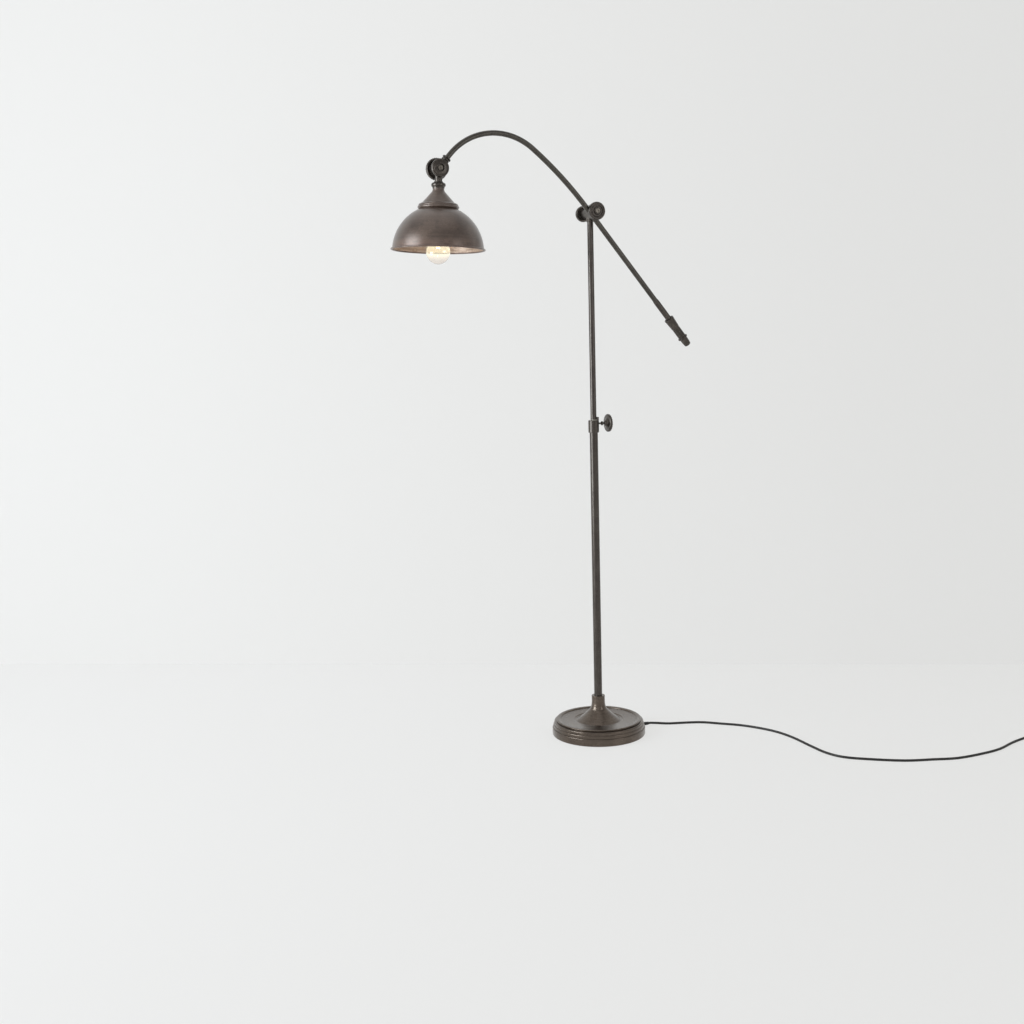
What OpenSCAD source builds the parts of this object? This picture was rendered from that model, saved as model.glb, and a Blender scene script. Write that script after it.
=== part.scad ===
// Bridge floor lamp: a weighted round base, a telescopic pole with a thumb screw, a swinging arm
// with a tail handle, and a domed shade that hangs from a friction swivel.
// Millimetres, +Z up. The origin is on the floor under the pole. The shade hangs towards -X and
// the clutch bolts lie along Y, with the arm in a plane in front of the pole.

/* [Base] */
// Radius of the cover's bottom flange
flange_r = 127; // [110:0.5:150]
// Height of the bottom flange
flange_h = 20; // [14:0.5:24]
// Radius of the rounded bead above the flange
bead_r = 124.5; // [108:0.5:148]
// Height of the rounded bead
bead_h = 9; // [7:0.5:14]
// Radius of the third tier
tier_r = 122; // [106:0.5:146]
// Height of the third tier
tier_h = 8; // [6:0.5:12]
// Outer radius of the crest ring
crest_r = 116; // [100:0.5:140]
// Width of the crest ring
crest_w = 12; // [8:0.5:16]
// Height of the crest ring above the third tier
crest_h = 5.5; // [4:0.5:9]
// Depth of the flat top below the crest
plateau_drop = 2.7; // [1:0.1:4]
// Radius of the step in the flat top, round the groove at the cone's foot
foot_step_r = 68; // [60:0.5:84]
// Depth of the groove round the cone's foot
foot_groove = 2.8; // [2:0.1:3]
// Radius of the foot of the concave cone
cone_foot_r = 62; // [50:0.5:64]
// Radius of the concave cone where it turns into the flare
cone_neck_r = 24; // [22:0.5:28]
// Height of the concave part of the cone above the flat top
cone_h = 28.4; // [20:0.1:34]
// How far the side of the cone is hollowed
cone_hollow = 1.5; // [0.5:0.1:4]
// Height of the flare above the cone
flare_h = 9.6; // [8:0.1:20]
// Wall of the spun cover
cover_wall = 1.6; // [1:0.1:3]
// Gap between the cover's edge and the floor
floor_gap = 0.8; // [0.4:0.1:1.8]
// Radius of the cast weight inside the cover
weight_r = 113; // [80:0.5:114]
// Thickness of the cast weight
weight_h = 25; // [14:0.5:28]
// Thickness of the felt pad under the weight
felt_t = 2; // [1:0.1:4]

/* [Pole] */
// Radius of the stem socket on the base
socket_r = 18; // [16:0.1:19]
// Radius of the stem socket's foot, where it meets the cover
socket_foot_r = 19.6; // [19:0.1:21.5]
// Height of the stem socket
socket_h = 29; // [22:0.5:40]
// Radius of the lower pole
pole_r = 11; // [10:0.25:12.5]
// Wall of the lower pole
pole_wall = 1.2; // [0.8:0.1:1.4]
// Height of the bottom of the height collar above the floor
collar_z = 828; // [700:1:950]
// Radius of the height collar
collar_r = 14.25; // [13.5:0.25:17]
// Height of the height collar
collar_h = 33; // [28:0.5:45]
// Height of the lug above the collar, on the side of the thumb screw
lug_h = 8.4; // [6:0.1:12]
// Radius of the upper pole
mast_r = 8; // [7:0.25:8.5]
// Wall of the upper pole
mast_wall = 1.2; // [0.8:0.1:1.6]
// Shown length of the upper pole, from the lug's top to the pole head
mast_show = 508.6; // [400:1:600]
// Length of the upper pole inside the lower pole and the collar
mast_tuck = 300; // [240:1:340]
// Radius of the pole head's upright sleeve
head_sleeve_r = 11; // [10:0.25:13]
// Distance from the bottom of the pole head to the bolt
head_drop = 24; // [20:0.5:32]
// Distance from the bolt to the top of the pole head
head_rise = 17; // [14:0.5:22]

/* [Thumb screw] */
// Height of the screw above the bottom of the collar
screw_rise = 23.6; // [20:0.1:26]
// Radius of the screw
screw_r = 2.4; // [2:0.1:3.5]
// Length of the screw that shows between the collar and the knob
screw_show = 17; // [12:0.5:24]
// Radius of the knob
thumb_r = 24; // [18:0.5:28]
// Thickness of the knob from its hub to its outer face
thumb_t = 20; // [14:0.5:26]

/* [Clutches] */
// Radius of the clutch bolts
bolt_r = 3; // [2.5:0.1:3.5]
// Distance from the pole's axis to the arm's plane
arm_y = 26; // [24:0.5:30]
// Thickness of the fibre washer between the pole head and the arm hub
washer_t = 1.8; // [1:0.1:3]
// Radius of the arm hub and its washer
hub_r = 20; // [19:0.5:23]
// Thickness of the arm hub
hub_t = 20; // [18:0.5:24]
// Radius of the dished disc in front of the arm hub
dish_r = 24; // [20:0.5:28]
// Thickness of the dished disc
dish_t = 13.5; // [10:0.5:16]
// Distance from the pole's axis to the back of the pole head's barrel
barrel_back = 38; // [24:0.5:44]
// Radius of the pole head's barrel
barrel_r = 11.5; // [10.5:0.25:13]
// Radius of the knurled nut behind the pole head
pole_nut_r = 21; // [16:0.5:24]
// Radius of the knurled nut behind the shade's swivel
head_nut_r = 28; // [22:0.5:32]
// Thickness of both knurled nuts
nut_t = 10; // [7:0.5:13]
// Number of knurls around a nut
knurls = 36; // [24:1:48]
// Depth of the knurls
knurl_d = 1.2; // [0.8:0.1:1.8]
// Radius of the plain disc in front of the shade's swivel
face_r = 22.5; // [18:0.5:26]
// Thickness of the plain disc
face_t = 10; // [7:0.5:12]

/* [Arm] */
// Radius of the arm tube
arm_r = 6.75; // [6:0.25:7]
// Wall of the arm tube
arm_wall = 1.2; // [0.8:0.1:1.5]
// Distance from the bolt to the arm tube's axis
arm_side = 11; // [10.5:0.1:12]
// Slope of the arm's lower leg
arm_slope = 50.6; // [40:0.1:60]
// Straight length of the arm above the clutch
arm_rise = 17; // [12:0.5:60]
// Bend radius of the long bow
bow_r = 1000; // [800:5:1300]
// Angle that the bow turns through
bow_turn = 12; // [6:0.5:16]
// Bend radius of the crook over the shade
crook_r = 160.5; // [120:0.5:200]
// Angle that the crook turns through
crook_turn = 87; // [75:0.5:100]
// Straight length of the arm after the crook
arm_stub = 20; // [18:0.5:30]
// Distance from the end of the arm tube to the shade's pivot
knuckle_reach = 27.5; // [26:0.5:34]
// Radius of the ferrule at the arm's end
ferrule_r = 8.3; // [7.6:0.1:8.6]
// Radius of the ferrule's ring beside the swivel
ferrule_ring_r = 10.3; // [9:0.1:10.4]
// Radius of the ferrule's outer ring
ferrule_rim_r = 11.6; // [9:0.1:12]

/* [Tail handle] */
// Distance along the arm from the clutch to the start of the swelling
swell_at = 289; // [240:1:320]
// Radius of the swelling
swell_r = 7.75; // [7.5:0.05:8.5]
// Distance along the arm from the clutch to the mouth of the cup
cup_at = 351; // [330:1:380]
// Radius of the cup's mouth
cup_r = 13.25; // [12:0.25:16]
// Length of the tapered cup
cup_l = 32; // [24:0.5:40]
// Radius of the handle's barrel
grip_r = 10.5; // [9.5:0.25:12]
// Length of the handle's barrel
grip_l = 32; // [24:0.5:60]
// Radius of the ring at the end of the barrel
ring_r = 13.5; // [12:0.25:16]
// Thickness of the ring
ring_t = 4; // [3:0.25:6]
// Length of the end cap
cap_l = 26; // [20:0.5:36]
// Radius of the end cap's tip
cap_tip_r = 9; // [6:0.25:9.5]

/* [Shade] */
// Tilt of the shade at rest, with its rim towards -X
head_tilt = 2.3; // [-10:0.1:20]
// Radius of the swivel's knuckle eyes
eye_r = 10; // [9:0.25:10.5]
// Thickness of one knuckle
eye_t = 9.25; // [8:0.25:11]
// Radius of the neck under the swivel
neck_r = 9.5; // [8.5:0.25:11]
// Distance from the pivot to the neck's bottom
neck_h = 31.5; // [28:0.5:40]
// Radius of the bead under the neck
knop_r = 18; // [15:0.5:21]
// Height of the bead
knop_h = 16.8; // [14:0.2:20]
// Radius of the waist at the top of the cone
waist_r = 14.2; // [13:0.2:16]
// Height of the cone
cone_drop = 35.9; // [34:0.1:38]
// Angle of the cone's side from the vertical
cone_angle = 42; // [38:0.5:43]
// Bend radius between the waist and the cone
cone_bend = 12; // [10:0.5:20]
// Radius of the collar ring on the dome
ring_top_r = 51.5; // [50:0.25:56]
// Height of the collar ring
ring_top_h = 14.9; // [13:0.1:20]
// Radius of the spun dome
dome_r = 114; // [104:0.5:124]
// Height of the dome, from its rim to its flat top
dome_h = 96.9; // [86:0.1:102]
// Height of the dome's centre below the rim
dome_sink = 6; // [0:0.5:10]
// Wall of the shade
shade_wall = 1.3; // [0.8:0.1:2]
// Radius of the rolled wire in the rim
rim_wire_r = 2.2; // [1.5:0.1:3]

/* [Lampholder and bulb] */
// Radius of the lampholder's shell
holder_r = 19; // [17:0.25:20]
// Length of the lampholder's shell
holder_l = 49; // [44:0.5:58]
// Radius of the bulb's screw cap
cap_screw_r = 13; // [12.5:0.25:13.5]
// Radius of the bulb
bulb_r = 30; // [28:0.5:32]
// Length of the bulb from the tip of its cap to its crown
bulb_l = 102; // [98:0.5:116]
// Depth of the bulb's cap in the lampholder
bulb_seat = 27; // [25:0.5:30]
// Length of the switch key outside the lampholder
key_l = 22; // [14:0.5:26]

/* [Mains lead] */
// Diameter of the mains lead
cord_d = 6.5; // [6:0.1:7]
// Height of the lead's exit above the floor
exit_z = 6.6; // [6.4:0.1:9]
// Length of the strain relief outside the base
relief_l = 26; // [20:0.5:40]
// Diameter of the leads inside the lamp
lead_d = 4.6; // [4:0.1:5]
// Mean radius of the coil
coil_r = 35.6; // [34:0.1:39]
// Gap between the coil's turns
coil_gap = 0.45; // [0.42:0.01:0.8]
// Width of the plug
plug_w = 27; // [24:0.5:32]
// Length of the plug
plug_l = 36; // [30:0.5:44]
// Length of the plug's blades
blade_l = 17; // [16:0.5:18]

/* [Hidden] */

$fn = 64;
run_fit = 0.05;        // radial clearance of a running fit
skin = 0.01;           // overrun of a cut
bronze = [0.36, 0.31, 0.27];
dark = [0.20, 0.17, 0.15];
steel = [0.62, 0.61, 0.58];
brass = [0.75, 0.62, 0.34];
black = [0.10, 0.10, 0.10];

// Heights in the base
bead_z = flange_h + floor_gap;
tier_z = bead_z + bead_h;
crest_z = tier_z + tier_h;
crest_top = crest_z + crest_h;
plateau_z = crest_top - plateau_drop;
neck_z = plateau_z + cone_h;
cover_top = neck_z + flare_h;
flange_edge = 2.2;     // rounding of the flange
bead_edge = 3;         // rounding of the bead
tier_edge = 3;         // rounding of the tier
crest_edge = 2.5;      // rounding of the crest
groove_in = 1.4;       // depth of the groove under the crest
step_edge = 1.3;       // rounding of the step at the cone's foot
cone_foot_z = plateau_z - foot_groove;
cone_rise = neck_z - cone_foot_z;
cone_run = cone_foot_r - cone_neck_r;
cone_side = [-cone_run, cone_rise];
cone_sweep = (norm(cone_side) * norm(cone_side) / 4 + cone_hollow * cone_hollow) / (2 * cone_hollow);
cone_sweep_c = [cone_foot_r, cone_foot_z] + cone_side / 2
    + (cone_sweep - cone_hollow) * [cone_rise, cone_run] / norm(cone_side);
cone_turns = [for (p = [[cone_foot_r, cone_foot_z], [cone_neck_r, neck_z]])
    atan2(p[1] - cone_sweep_c[1], p[0] - cone_sweep_c[0])];
flare_in = cone_neck_r - socket_foot_r;
nipple_r = 5;
nipple_bore_r = 3.2;
recess_r = 20;         // recess for the nut under the weight
recess_h = 20;
nut_h = 5;
washer_h = 1.6;
nipple_end = 0.5;      // length of the nipple below its nut
weight_boss_r = 13;

// Heights along the pole
socket_z = cover_top;
socket_ledge = 9;      // floor of the stem socket that carries the pole
pole_foot = socket_z + socket_ledge;
bush_z = collar_z + 18;
collar_top = collar_z + collar_h;
lug_top = collar_top + lug_h;
lug_w = 16;            // width of the lug
lug_round = 4;         // rounding of the lug's outer top
screw_z = collar_z + screw_rise;
mast_top = lug_top + mast_show;
bolt_z = mast_top + head_drop;
mast_foot = lug_top - mast_tuck;
mast_end = bolt_z - bolt_r - 7;
spigot_r = mast_r - 1.4;
spigot_l = 24;         // length of the guide bush on the spigot
travel_down = 300;     // how far the upper pole can go down
guide_r = pole_r - pole_wall - run_fit;
bush_r = mast_r + 2;

// Thumb screw along X
bead_x = collar_r + screw_show * 0.6;
knob_x = collar_r + screw_show;

// Clutch stack along Y, front first
washer_y = arm_y - hub_t / 2;
hub_front = -arm_y - hub_t / 2;
barrel_l = barrel_back + washer_y - washer_t;
spring_t = 1.2;        // flat height of a spring washer
slot_turn = 75;        // how the bolts' slots stand

// Arm, in a frame at the bolt whose Z axis runs up the leg
leg_turn = arm_slope - 90;
bow_c = [-arm_side - bow_r, arm_rise];
crook_c = bow_c + (bow_r - crook_r) * [cos(bow_turn), sin(bow_turn)];
end_turn = bow_turn + crook_turn;
crook_end = crook_c + crook_r * [cos(end_turn), sin(end_turn)];
end_dir = [-sin(end_turn), cos(end_turn)];
tube_end = crook_end + arm_stub * end_dir;
pivot_leg = tube_end + knuckle_reach * end_dir;
pivot = [
    pivot_leg[0] * cos(leg_turn) + pivot_leg[1] * sin(leg_turn),
    -arm_y,
    bolt_z - pivot_leg[0] * sin(leg_turn) + pivot_leg[1] * cos(leg_turn)
];
grip_at = cup_at + cup_l;
ring_at = grip_at + grip_l;
cap_at = ring_at + ring_t;
crook_steps = 22;      // flats along the crook
spigot_in = 14;        // length of the knuckle's spigot inside the arm tube
tail_in = 22;          // length of the arm tube inside the handle's barrel
tube_foot = grip_at + tail_in;
lead_foot = tube_foot - 60;
swell_l = 60;

// Swivel along Y: the arm's knuckle behind, the shade's in front
lap = 0.25;            // half the thickness of the washer between the knuckles
shank_at = eye_r + 2.5;
face_y = -arm_y - lap - eye_t;
swivel_back = -arm_y + lap + eye_t;

// Shade, heights below the pivot
knop_top = neck_h;
waist_at = knop_top + knop_h;
cone_end = waist_at + cone_drop;
ring_end = cone_end + ring_top_h;
rim_at = ring_end + dome_h;
dome_c = rim_at + dome_sink;
dome_top_r = sqrt(dome_r * dome_r - (dome_h + dome_sink) * (dome_h + dome_sink));
bend_at = waist_at + 1;
bend_end_r = waist_r + cone_bend * (1 - cos(cone_angle));
bend_end = bend_at + cone_bend * sin(cone_angle);
cone_foot_out = bend_end_r + (cone_end - bend_end) * tan(cone_angle);
thread_r = 4.8;        // radius of the threaded tube in the shade
locknut_t = 3;
holder_at = ring_end + shade_wall + locknut_t + 2;
holder_mouth = holder_at + holder_l;
bulb_tip = holder_mouth - bulb_seat;
bulb_c = bulb_tip + bulb_l - bulb_r;
key_at = holder_at + 20;

// Mains lead on the floor
relief_in = 4;         // part of the strain relief inside the cover
// Places on the floor that the lead passes, from the strain relief to the coil
run_points = [
    [153, 0, 6.6], [174, -3.4, 5.2], [210, -19, 3.3], [288, -45, 3.3], [336, -83, 3.3],
    [386, -130, 3.3], [428, -200, 3.3], [444, -269, 3.3], [446, -357, 3.3], [450, -417, 3.3],
    [469, -463, 3.3], [514, -503, 3.3], [589, -552, 3.3], [660, -576, 3.3], [722, -594, 3.3],
    [801, -593, 3.3], [864, -583, 3.3], [927, -558, 3.3], [980, -543, 3.6], [1022, -538, 4.5],
    [1066, -538, 4.5]
];
coil_turns = 2.5;      // turns in each layer
coil_pitch = cord_d + coil_gap;
coil_lift = 1.2;       // the tie under the coil
coil_low = coil_lift + cord_d / 2;
coil_out = coil_r + coil_pitch * coil_turns / 2;
coil_in = coil_r - coil_pitch * coil_turns / 2;
coil_start = [1066, -538];
coil_c = coil_start - [0, coil_out];
tail_l = 38;           // straight lead between the coil and the plug
blade_gap = 12.7;

// ---- helpers ----

// Points of an arc about a centre
function arc(c, r, a0, a1, n) = [for (i = [0:n]) let (a = a0 + (a1 - a0) * i / n) c + r * [cos(a), sin(a)]];

// A ring along Y whose back face lies at y and which stands out towards +Y
module disc_y(y, r, t) {
    translate([0, y + t, 0]) rotate([90, 0, 0]) cylinder(r = r, h = t);
}

// A solid of revolution about Y; the profile's second number runs towards the front, -Y
module spun_y(y) {
    translate([0, y, 0]) rotate([90, 0, 0]) rotate_extrude() children();
}

// A flat ring with rounded outer edges, from z0 to z1
module rounded_slab(r, z0, z1, e) {
    square_at(0, z0, r - e, z1);
    square_at(0, z0 + e, r, z1 - e);
    translate([r - e, z0 + e]) circle(e);
    translate([r - e, z1 - e]) circle(e);
}

module square_at(x0, y0, x1, y1) {
    translate([x0, y0]) square([x1 - x0, y1 - y0]);
}

// Half a plane, for profiles that are spun
module right_of_axis(size) {
    intersection() {
        children();
        translate([0, -size]) square([size, 2 * size]);
    }
}

// The frame at the bolt whose Z axis runs up the arm's leg
module on_leg() {
    translate([0, -arm_y, bolt_z]) rotate([0, leg_turn, 0]) children();
}

// The arm tube's axis: Z runs up the leg from the clutch
module on_tube(z) {
    on_leg() translate([-arm_side, 0, z]) children();
}

// The end of the arm: Z runs on past the tube's end, from the pivot backwards is negative
module at_pivot_along_arm() {
    on_leg() translate([pivot_leg[0], 0, pivot_leg[1]]) rotate([0, -end_turn, 0]) children();
}

// The shade's frame: the pivot is the origin and the shade hangs along -Z
module on_shade() {
    translate(pivot) rotate([0, head_tilt, 0]) children();
}

// Points along the arm's axis or beside it, in the leg's frame: from a distance below the clutch,
// round the bow and the crook, to a distance past the crook
function arm_path(low, past, shift) = [
    for (p = concat(
        [[-arm_side - shift, -low]],
        arc(bow_c, bow_r - shift, 0, bow_turn, 5),
        arc(crook_c, crook_r - shift, bow_turn + crook_turn / crook_steps, end_turn, crook_steps - 1),
        [crook_c + (crook_r - shift) * [cos(end_turn), sin(end_turn)] + past * end_dir]
    )) [p[0], 0, p[1]]
];

// A knurled disc about Y with chamfered rims, a raised hub and a dished face
module knurled_nut(y, r) {
    rim = 1.6;
    translate([0, y, 0]) rotate([-90, 0, 0]) difference() {
        intersection() {
            linear_extrude(nut_t) polygon([
                for (i = [0:2 * knurls - 1])
                    (r + 0.4 - (i % 2) * knurl_d) * [cos(180 * i / knurls), sin(180 * i / knurls)]
            ]);
            rotate_extrude() polygon([
                [0, 0], [r - rim, 0], [r, rim], [r, nut_t - rim], [r - rim, nut_t], [0, nut_t]
            ]);
        }
        translate([0, 0, -skin]) cylinder(r = bolt_r + run_fit, h = nut_t + 2 * skin);
        for (z = [0, nut_t])
            translate([0, 0, z]) rotate_extrude() translate([r * 0.68, 0]) circle(r * 0.1, $fn = 24);
    }
}

// ---- base ----

module cover_outline() {
    difference() {
        union() {
            rounded_slab(flange_r, floor_gap, bead_z, flange_edge);
            rounded_slab(bead_r, bead_z - skin, tier_z, bead_edge);
            rounded_slab(tier_r, tier_z - skin, crest_z, tier_edge);
            square_at(0, crest_z - 1, crest_r - groove_in, crest_z + 1);
            rounded_slab(crest_r, crest_z + 1, crest_top, crest_edge - 0.3);
        }
        square_at(0, plateau_z, crest_r - crest_w, crest_top + 1);
        square_at(0, cone_foot_z, foot_step_r, crest_top + 1);
    }
    translate([foot_step_r, plateau_z - step_edge]) circle(step_edge, $fn = 24);
    square_at(foot_step_r - step_edge, cone_foot_z - 1, foot_step_r + 1, plateau_z - step_edge);
    polygon(concat(
        [[0, cone_foot_z - 1], [cone_foot_r, cone_foot_z - 1]],
        cone_side_points(cone_sweep),
        [
            [socket_foot_r + flare_in * 0.57, neck_z + flare_h * 0.27],
            [socket_foot_r + flare_in * 0.25, neck_z + flare_h * 0.63],
            [socket_foot_r, cover_top], [0, cover_top]
        ]
    ));
}

// The cone's hollow side, from its foot to its neck
function cone_side_points(r) = arc(cone_sweep_c, r, cone_turns[0], cone_turns[1], 12);

module cover_cavity() {
    top_z = cover_top - cover_wall;
    square_at(0, 0, tier_r - tier_edge - cover_wall, crest_z - 2);
    square_at(0, 0, bead_r - bead_edge - cover_wall, tier_z - 3);
    square_at(0, 0, flange_r - flange_edge, bead_z - 2.5);
    square_at(foot_step_r + cover_wall, crest_z - 3, crest_r - crest_w - cover_wall, plateau_z - cover_wall);
    polygon(concat(
        [[0, crest_z - 3], [cone_foot_r - 2, crest_z - 3]],
        cone_side_points(cone_sweep + cover_wall),
        [
            [socket_foot_r - cover_wall + flare_in * 0.3, neck_z + flare_h * 0.5],
            [socket_foot_r - cover_wall, top_z], [0, top_z]
        ]
    ));
}

module base_cover() {
    color(bronze) difference() {
        rotate_extrude($fn = 180) right_of_axis(200) cover_outline();
        rotate_extrude($fn = 180) right_of_axis(200) cover_cavity();
        translate([0, 0, cover_top / 2]) cylinder(r = nipple_r + run_fit, h = cover_top);
        translate([flange_r - 8, 0, exit_z]) rotate([0, 90, 0]) cylinder(r = cord_d / 2 + 1.2, h = 20);
    }
}

module base_weight() {
    top_z = cover_top - cover_wall;
    color(dark) difference() {
        rotate_extrude($fn = 120) polygon([
            [0, felt_t], [weight_r, felt_t], [weight_r, felt_t + weight_h - 4],
            [weight_r - 4, felt_t + weight_h], [weight_boss_r + 8, felt_t + weight_h],
            [weight_boss_r, felt_t + weight_h + 8], [weight_boss_r, top_z], [0, top_z]
        ]);
        cylinder(r = nipple_r + run_fit, h = cover_top);
        translate([0, 0, felt_t - skin]) cylinder(r = recess_r, h = recess_h + skin);
        translate([0, -cord_d, felt_t - skin]) cube([weight_r + 1, 2 * cord_d, cord_d + 1.5]);
    }
}

module base_felt() {
    color(black) cylinder(r = weight_r + 7, h = felt_t);
}

module base_washer() {
    color(steel) translate([0, 0, felt_t + recess_h - washer_h]) difference() {
        cylinder(r = 15, h = washer_h);
        translate([0, 0, -1]) cylinder(r = nipple_r + run_fit, h = 4);
    }
}

module base_nut() {
    color(steel) translate([0, 0, felt_t + recess_h - washer_h - nut_h]) difference() {
        cylinder(r = 9.8, h = nut_h, $fn = 6);
        translate([0, 0, -1]) cylinder(r = nipple_r + run_fit, h = nut_h + 2);
    }
}

module base_nipple() {
    low = felt_t + recess_h - washer_h - nut_h - nipple_end;
    high = socket_z + socket_ledge - 1.5;
    color(steel) translate([0, 0, low]) difference() {
        cylinder(r = nipple_r, h = high - low);
        translate([0, 0, -1]) cylinder(r = nipple_bore_r, h = high - low + 2);
    }
}

module stem_socket() {
    edge = 0.8;
    foot_out = socket_foot_r - socket_r;
    color(bronze) difference() {
        rotate_extrude() polygon([
            [0, socket_z], [socket_foot_r, socket_z], [socket_r + foot_out * 0.55, socket_z + 3],
            [socket_r + foot_out * 0.25, socket_z + 6.5], [socket_r, socket_z + 12],
            [socket_r, socket_z + socket_h - edge], [socket_r - edge, socket_z + socket_h],
            [0, socket_z + socket_h]
        ]);
        translate([0, 0, socket_z - skin]) cylinder(r = nipple_r + run_fit, h = socket_h);
        translate([0, 0, pole_foot]) cylinder(r = pole_r + run_fit, h = socket_h);
    }
}

module strain_relief() {
    rear = flange_r - relief_in;
    color(black) difference() {
        translate([rear, 0, exit_z]) rotate([0, 90, 0]) rotate_extrude($fn = 48) polygon([
            [0, 0], [cord_d / 2 + 1.1, 0], [cord_d / 2 + 1.1, relief_in + 0.4],
            [cord_d / 2 + 2.4, relief_in + 0.4], [cord_d / 2 + 2.4, relief_in + 3],
            [cord_d / 2 + 2, relief_in + 4], [cord_d / 2 + 0.9, relief_in + relief_l],
            [0, relief_in + relief_l]
        ]);
        translate([rear - 1, 0, exit_z]) rotate([0, 90, 0]) cylinder(r = lead_d / 2, h = relief_in + 1);
    }
}

module base_lead() {
    bend = 8;
    top = mast_foot - spigot_l - travel_down - 20;
    color(black) {
        translate([bend, 0, exit_z]) rotate([0, 90, 0])
            cylinder(r = lead_d / 2, h = flange_r - bend, $fn = 32);
        translate([bend, 0, exit_z + bend]) rotate([90, 0, 0]) rotate([0, 0, 180])
            rotate_extrude(angle = 90, $fn = 64) translate([bend, 0]) circle(lead_d / 2, $fn = 32);
        translate([0, 0, exit_z + bend]) cylinder(r = lead_d / 2, h = top - exit_z - bend, $fn = 32);
    }
}

// ---- pole ----

module lower_pole() {
    color(bronze) difference() {
        translate([0, 0, pole_foot]) cylinder(r = pole_r, h = bush_z - pole_foot);
        translate([0, 0, pole_foot - 1]) cylinder(r = pole_r - pole_wall, h = bush_z - pole_foot + 2);
    }
}

module height_collar() {
    edge = 1;
    color(bronze) difference() {
        union() {
            rotate_extrude() polygon([
                [0, collar_z], [collar_r - edge, collar_z], [collar_r, collar_z + edge],
                [collar_r, collar_top - edge], [collar_r - edge, collar_top], [0, collar_top]
            ]);
            intersection() {
                union() {
                    translate([0, -lug_w / 2, collar_z + edge])
                        cube([collar_r, lug_w, lug_top - lug_round - collar_z - edge]);
                    translate([0, -lug_w / 2, collar_z + edge])
                        cube([collar_r - lug_round, lug_w, lug_top - collar_z - edge]);
                    translate([collar_r - lug_round, lug_w / 2, lug_top - lug_round]) rotate([90, 0, 0])
                        cylinder(r = lug_round, h = lug_w);
                }
                translate([0, 0, collar_z]) cylinder(r = collar_r, h = lug_top - collar_z);
            }
        }
        translate([0, 0, collar_z - 1]) cylinder(r = pole_r + run_fit, h = bush_z - collar_z + 1);
        translate([0, 0, bush_z - skin]) cylinder(r = bush_r + run_fit, h = lug_top - bush_z + 1);
        translate([0, 0, screw_z]) rotate([0, 90, 0]) cylinder(r = screw_r + run_fit, h = collar_r + 1);
    }
}

module collar_bush() {
    color("whitesmoke") difference() {
        translate([0, 0, bush_z]) cylinder(r = bush_r, h = collar_top - bush_z + 1.5);
        translate([0, 0, bush_z - 1]) cylinder(r = mast_r + run_fit, h = collar_top - bush_z + 4);
    }
}

module thumb_screw() {
    color(steel) translate([0, 0, screw_z]) rotate([0, 90, 0]) rotate_extrude($fn = 48) polygon([
        [0, bush_r + 0.3], [screw_r, bush_r + 0.3], [screw_r, bead_x - 3], [screw_r + 2.6, bead_x - 2],
        [screw_r + 3.6, bead_x], [screw_r + 2.6, bead_x + 2], [screw_r, bead_x + 3],
        [screw_r, knob_x + thumb_t * 0.6], [0, knob_x + thumb_t * 0.6]
    ]);
}

module thumb_knob() {
    rim_r = 3.8;
    rim_at = thumb_t * 0.58;
    color(dark) translate([knob_x, 0, screw_z]) rotate([0, 90, 0]) difference() {
        rotate_extrude($fn = 72) polygon(concat(
            [[0, 0], [5.5, 0], [7, 1.5], [9, 4.5], [thumb_r - 8, rim_at - rim_r]],
            arc([thumb_r - rim_r, rim_at], rim_r, -80, 80, 10),
            [[thumb_r * 0.7, thumb_t - 3.4], [thumb_r * 0.4, thumb_t - 1], [0, thumb_t]]
        ));
        translate([0, 0, -1]) cylinder(r = screw_r + run_fit, h = thumb_t * 0.6 + 1);
    }
}

module upper_pole() {
    color(bronze) difference() {
        union() {
            translate([0, 0, mast_foot]) cylinder(r = mast_r, h = mast_end - mast_foot);
            translate([0, 0, mast_foot - spigot_l - 5]) cylinder(r = spigot_r, h = spigot_l + 6);
        }
        translate([0, 0, mast_foot + 4]) cylinder(r = mast_r - mast_wall, h = mast_end);
        translate([0, 0, mast_foot - spigot_l - 6]) cylinder(r = spigot_r - mast_wall, h = spigot_l + 20);
    }
}

module guide_bush() {
    color("whitesmoke") difference() {
        translate([0, 0, mast_foot - spigot_l + 0.1]) cylinder(r = guide_r, h = spigot_l - 0.2);
        translate([0, 0, mast_foot - spigot_l - 1]) cylinder(r = spigot_r + run_fit, h = spigot_l + 2);
    }
}

module guide_ring() {
    color(steel) difference() {
        translate([0, 0, mast_foot - spigot_l - 2.6]) cylinder(r = spigot_r + 1.8, h = 2.6);
        translate([0, 0, mast_foot - spigot_l - 4]) cylinder(r = spigot_r, h = 6);
    }
}

module pole_lead() {
    color(black) translate([mast_r - mast_wall - lead_d / 2 - 1.6, 0, mast_foot - spigot_l - 8])
        cylinder(r = lead_d / 2, h = mast_end - mast_foot + spigot_l + 6, $fn = 32);
}

module pole_head() {
    top = bolt_z + head_rise;
    color(bronze) difference() {
        union() {
            rotate_extrude() polygon(concat(
                [[0, mast_top], [head_sleeve_r - 1, mast_top], [head_sleeve_r, mast_top + 1]],
                arc([head_sleeve_r - 4, top - 4], 4, 0, 90, 5), [[0, top]]
            ));
            translate([0, 0, bolt_z]) spun_y(barrel_back) polygon([
                [0, 0], [barrel_r - 1, 0], [barrel_r, 1], [barrel_r, barrel_l - 1], [barrel_r - 1, barrel_l],
                [0, barrel_l]
            ]);
        }
        translate([0, 0, mast_top - 1]) cylinder(r = mast_r + run_fit, h = mast_end - mast_top + 1);
        translate([0, 0, bolt_z]) disc_y(-2 * arm_y, bolt_r + run_fit, 2 * arm_y + barrel_back + 1);
    }
}

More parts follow.
